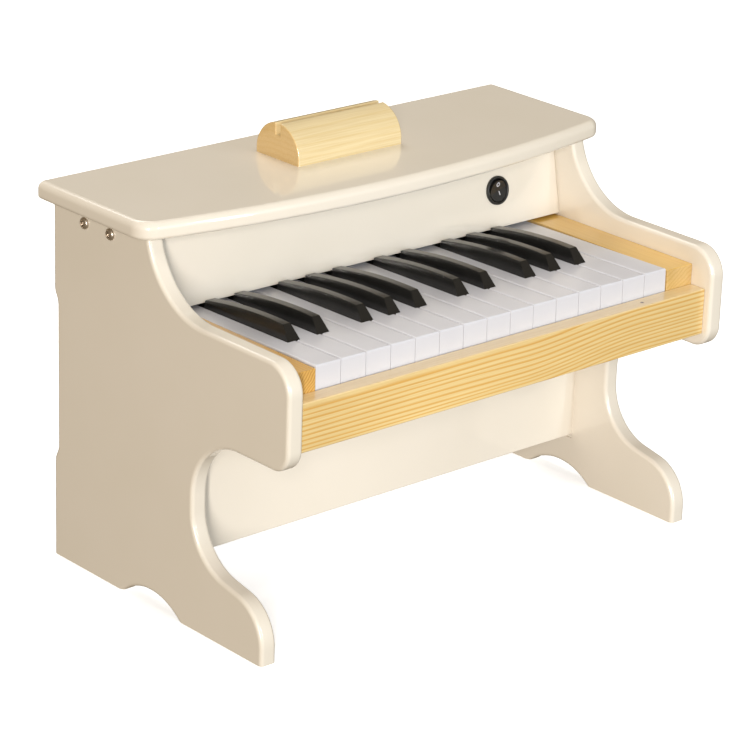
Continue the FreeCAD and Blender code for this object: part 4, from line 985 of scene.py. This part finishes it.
# Rubber and cable sheath are soft and satin. Board mask and cell film are thin and shinier.
finish["silicone"] = moulded("grey_silicone_rubber", "#9C9C98", "#8F8F8C", 0.6, 0.8, 0.06, 1.41)
finish["lead_pvc"] = moulded("black_pvc", "#1E1E1E", "#191919", 0.45, 1.0, 0.03)
finish["circuit_board"] = moulded("green_solder_mask", "#2F6B3C", "#285C34", 0.35, 1.5, 0.05)
finish["cell_jacket"] = moulded("grey_shrink_film", "#4A4C50", "#424448", 0.3, 5.0, 0.02)
# Ferrite is stony, and paper, felt and bare wood scatter nearly all the light they return.
finish["ferrite"] = moulded("sintered_ferrite", "#303032", "#29292B", 0.6, 0.6, 0.15, 1.8)
finish["speaker_paper"] = moulded("black_paper_cone", "#232323", "#1C1C1C", 0.8, 0.7, 0.2, 1.45)
finish["felt"] = moulded("red_felt", "#7A2420", "#6B1E1B", 0.95, 0.5, 0.5, 1.45)
finish["bare_board"] = moulded("bare_fibreboard", "#B08C63", "#A58058", 0.75, 0.8, 0.15, 1.45)
finish["beech"] = moulded("bare_beech", "#C9A072", "#BD9264", 0.6, 0.7, 0.1, 1.45)
print("finishes so far:", len(finish))

# %% [markdown]
# Plated metal keeps the default IOR and takes its tone from the base colour. Fine scratches
# from tumbling blur the reflection a little, and the plating varies in small flecks.

# %% Plated metals
FLECK_MM = 1.5


def plated(name, light, deep, roughness):
    """Metal with a plating that varies a little in tone."""
    made, tree, shader, place = new_finish(name)
    wire(tree, shader, {"Base Color": clouded(tree, place, FLECK_MM, 3.0, light, deep)},
         {"Metallic": 1.0, "Roughness": roughness})
    return made


finish["nickel"] = plated("nickel_plated_steel", "#D6CCC1", "#C6BBAE", 0.36)
finish["zinc_steel"] = plated("zinc_plated_steel", "#BFC0C2", "#ACADB0", 0.35)
finish["speaker_steel"] = plated("black_coated_steel", "#3A3A3C", "#303032", 0.45)
finish["spring_metal"] = plated("nickel_plated_spring", "#C6C4BF", "#B4B2AD", 0.3)
finish["terminal_brass"] = plated("bright_brass", "#D8B36A", "#C7A25A", 0.3)
print("finishes in all:", len(finish))

# %% [markdown]
# Each piece names the slot of its finish, and the CAD nodes that still show take theirs from
# the record. The cheeks and the holder have pine cut another way, and the marks are printed.

# %% Hand out the finishes
special = {"left_cheek": pine_left, "right_cheek": pine_right, "music_holder_block": pine_holder,
           "switch_off_mark": mark_print, "switch_on_mark": mark_print}
slot_of = {part["node"]: part["material_slot"] for part in frame["record"]["subparts"]}
for name, obj in frame["nodes"].items():
    for material_slot in obj.material_slots:
        material_slot.material = finish[slot_of[name]]
for obj in [o for o in bpy.data.objects if "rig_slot" in o]:
    obj.data.materials.clear()
    obj.data.materials.append(special.get(obj.name, finish[obj["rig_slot"]]))
print("finishes:", sorted(finish))

# %% [markdown]
# ## Studio
# A pale floor runs on under the whole picture. It glows a little, so that only a faint shadow
# is left on it, and it stays out of the reflections. Three tall, narrow lamps at the left,
# middle and right draw the glints on the rounded edges, and one behind draws those on the lid.
# The rest is filled from above and behind, and by one small card near the foot, by lamps that
# no glossy surface can mirror.

# %% Floor and air
FLOOR_M, PAPER_MM, FLOOR_GLOW = 12.0, 300, 0.58
AIR_COLOUR, AIR_STRENGTH = (1.0, 0.80, 0.55, 1), 0.26
put_down()
bpy.ops.mesh.primitive_plane_add(size=FLOOR_M)
floor = bpy.context.object
floor.name = "studio_floor"
paper, tree, shader, place = new_finish("white_studio_paper")
wire(tree, shader, {"Base Color": clouded(tree, place, PAPER_MM, 2.0, "#FAFAFA", "#F8F8F8")},
     {"Roughness": 0.9, "Emission Color": linear("#F8FCFF"), "Emission Strength": FLOOR_GLOW})
floor.data.materials.append(paper)
floor.visible_diffuse = False
floor.visible_glossy = False

world = bpy.data.worlds.new("studio_air")
bpy.context.scene.world = world
world.use_nodes = True
wire(world.node_tree, world.node_tree.nodes["Background"],
     inputs={"Color": AIR_COLOUR, "Strength": AIR_STRENGTH})
print("floor in m:", FLOOR_M, "air:", world.name)


# %% Lamps
def soft_box(name, place, aim, size, power, colour):
    """Rectangular lamp at place, turned towards aim; metres and watts."""
    lamp = bpy.data.lights.new(name, "AREA")
    lamp.shape = "RECTANGLE"
    lamp.color = linear(colour)[:3]
    lamp.size, lamp.size_y = size
    lamp.energy = power
    obj = bpy.data.objects.new(name, lamp)
    bpy.context.scene.collection.objects.link(obj)
    obj.location = place
    obj.rotation_euler = (Vector(aim) - Vector(place)).to_track_quat("-Z", "Y").to_euler()
    obj.visible_camera = False
    return obj


AIM, FOOT_AIM = (0, 0, 0.15), (0.19, -0.06, 0.08)
TALL, TALL_Z = 2.2, 1.15
BEHIND, BEHIND_SIZE = (0.3, 1.4, 1.9), (1.2, 0.8)
soft_box("left_strip", (-3.2, -3.4, TALL_Z), AIM, (0.22, TALL), 182, "#FFF9F3")
soft_box("middle_strip", (0.5, -4.5, TALL_Z), AIM, (0.15, TALL), 40, "#DCEFFF")
soft_box("right_strip", (1.42, -4.3, TALL_Z), AIM, (0.4, TALL), 40, "#DCEFFF")
soft_box("back_glint", BEHIND, AIM, BEHIND_SIZE, 7, "#FFFFFF")
fills = [soft_box("back_fill", BEHIND, AIM, BEHIND_SIZE, 16, "#FFFCF8"),
         soft_box("top_fill", (-0.15, -0.5, 1.7), AIM, (1.0, 0.8), 6.5, "#FFFFFF"),
         soft_box("foot_card", (-0.12, -0.2, 0.04), FOOT_AIM, (0.08, 0.06), 0.14, "#FFFFFF")]
for fill in fills:
    fill.visible_glossy = False
print("lamps:", [lamp.name for lamp in bpy.data.lights])

# %% [markdown]
# ## Camera
# The camera's place, lens and slight roll were worked out from measured corners of the piano
# in the photograph, so it is written down as numbers and not set by eye.

# %% Camera at the photograph's angle
EYE, LOOK_BACK = (-1428.54, -1575.69, 948.28), (-0.6234, -0.6945, 0.3594)
ROLL, SENSOR_MM, LENS_MM, FAR_M = math.radians(1.978), 36.0, 152.14, 100.0
eye, back = Vector(EYE) * MM, Vector(LOOK_BACK).normalized()
level_right = Vector(UP).cross(back).normalized()
level_up = back.cross(level_right)
right = math.cos(ROLL) * level_right + math.sin(ROLL) * level_up
up = math.cos(ROLL) * level_up - math.sin(ROLL) * level_right
camera_data = bpy.data.cameras.new("photo_camera")
camera_data.sensor_width = SENSOR_MM
camera_data.lens = LENS_MM
camera_data.clip_end = FAR_M
camera = bpy.data.objects.new("photo_camera", camera_data)
bpy.context.scene.collection.objects.link(camera)
camera.matrix_world = Matrix.Translation(eye) @ Matrix((right, up, back)).transposed().to_4x4()
bpy.context.scene.camera = camera
bpy.context.scene.view_settings.view_transform = "Standard"
print("camera distance in mm:", round(eye.length / MM))
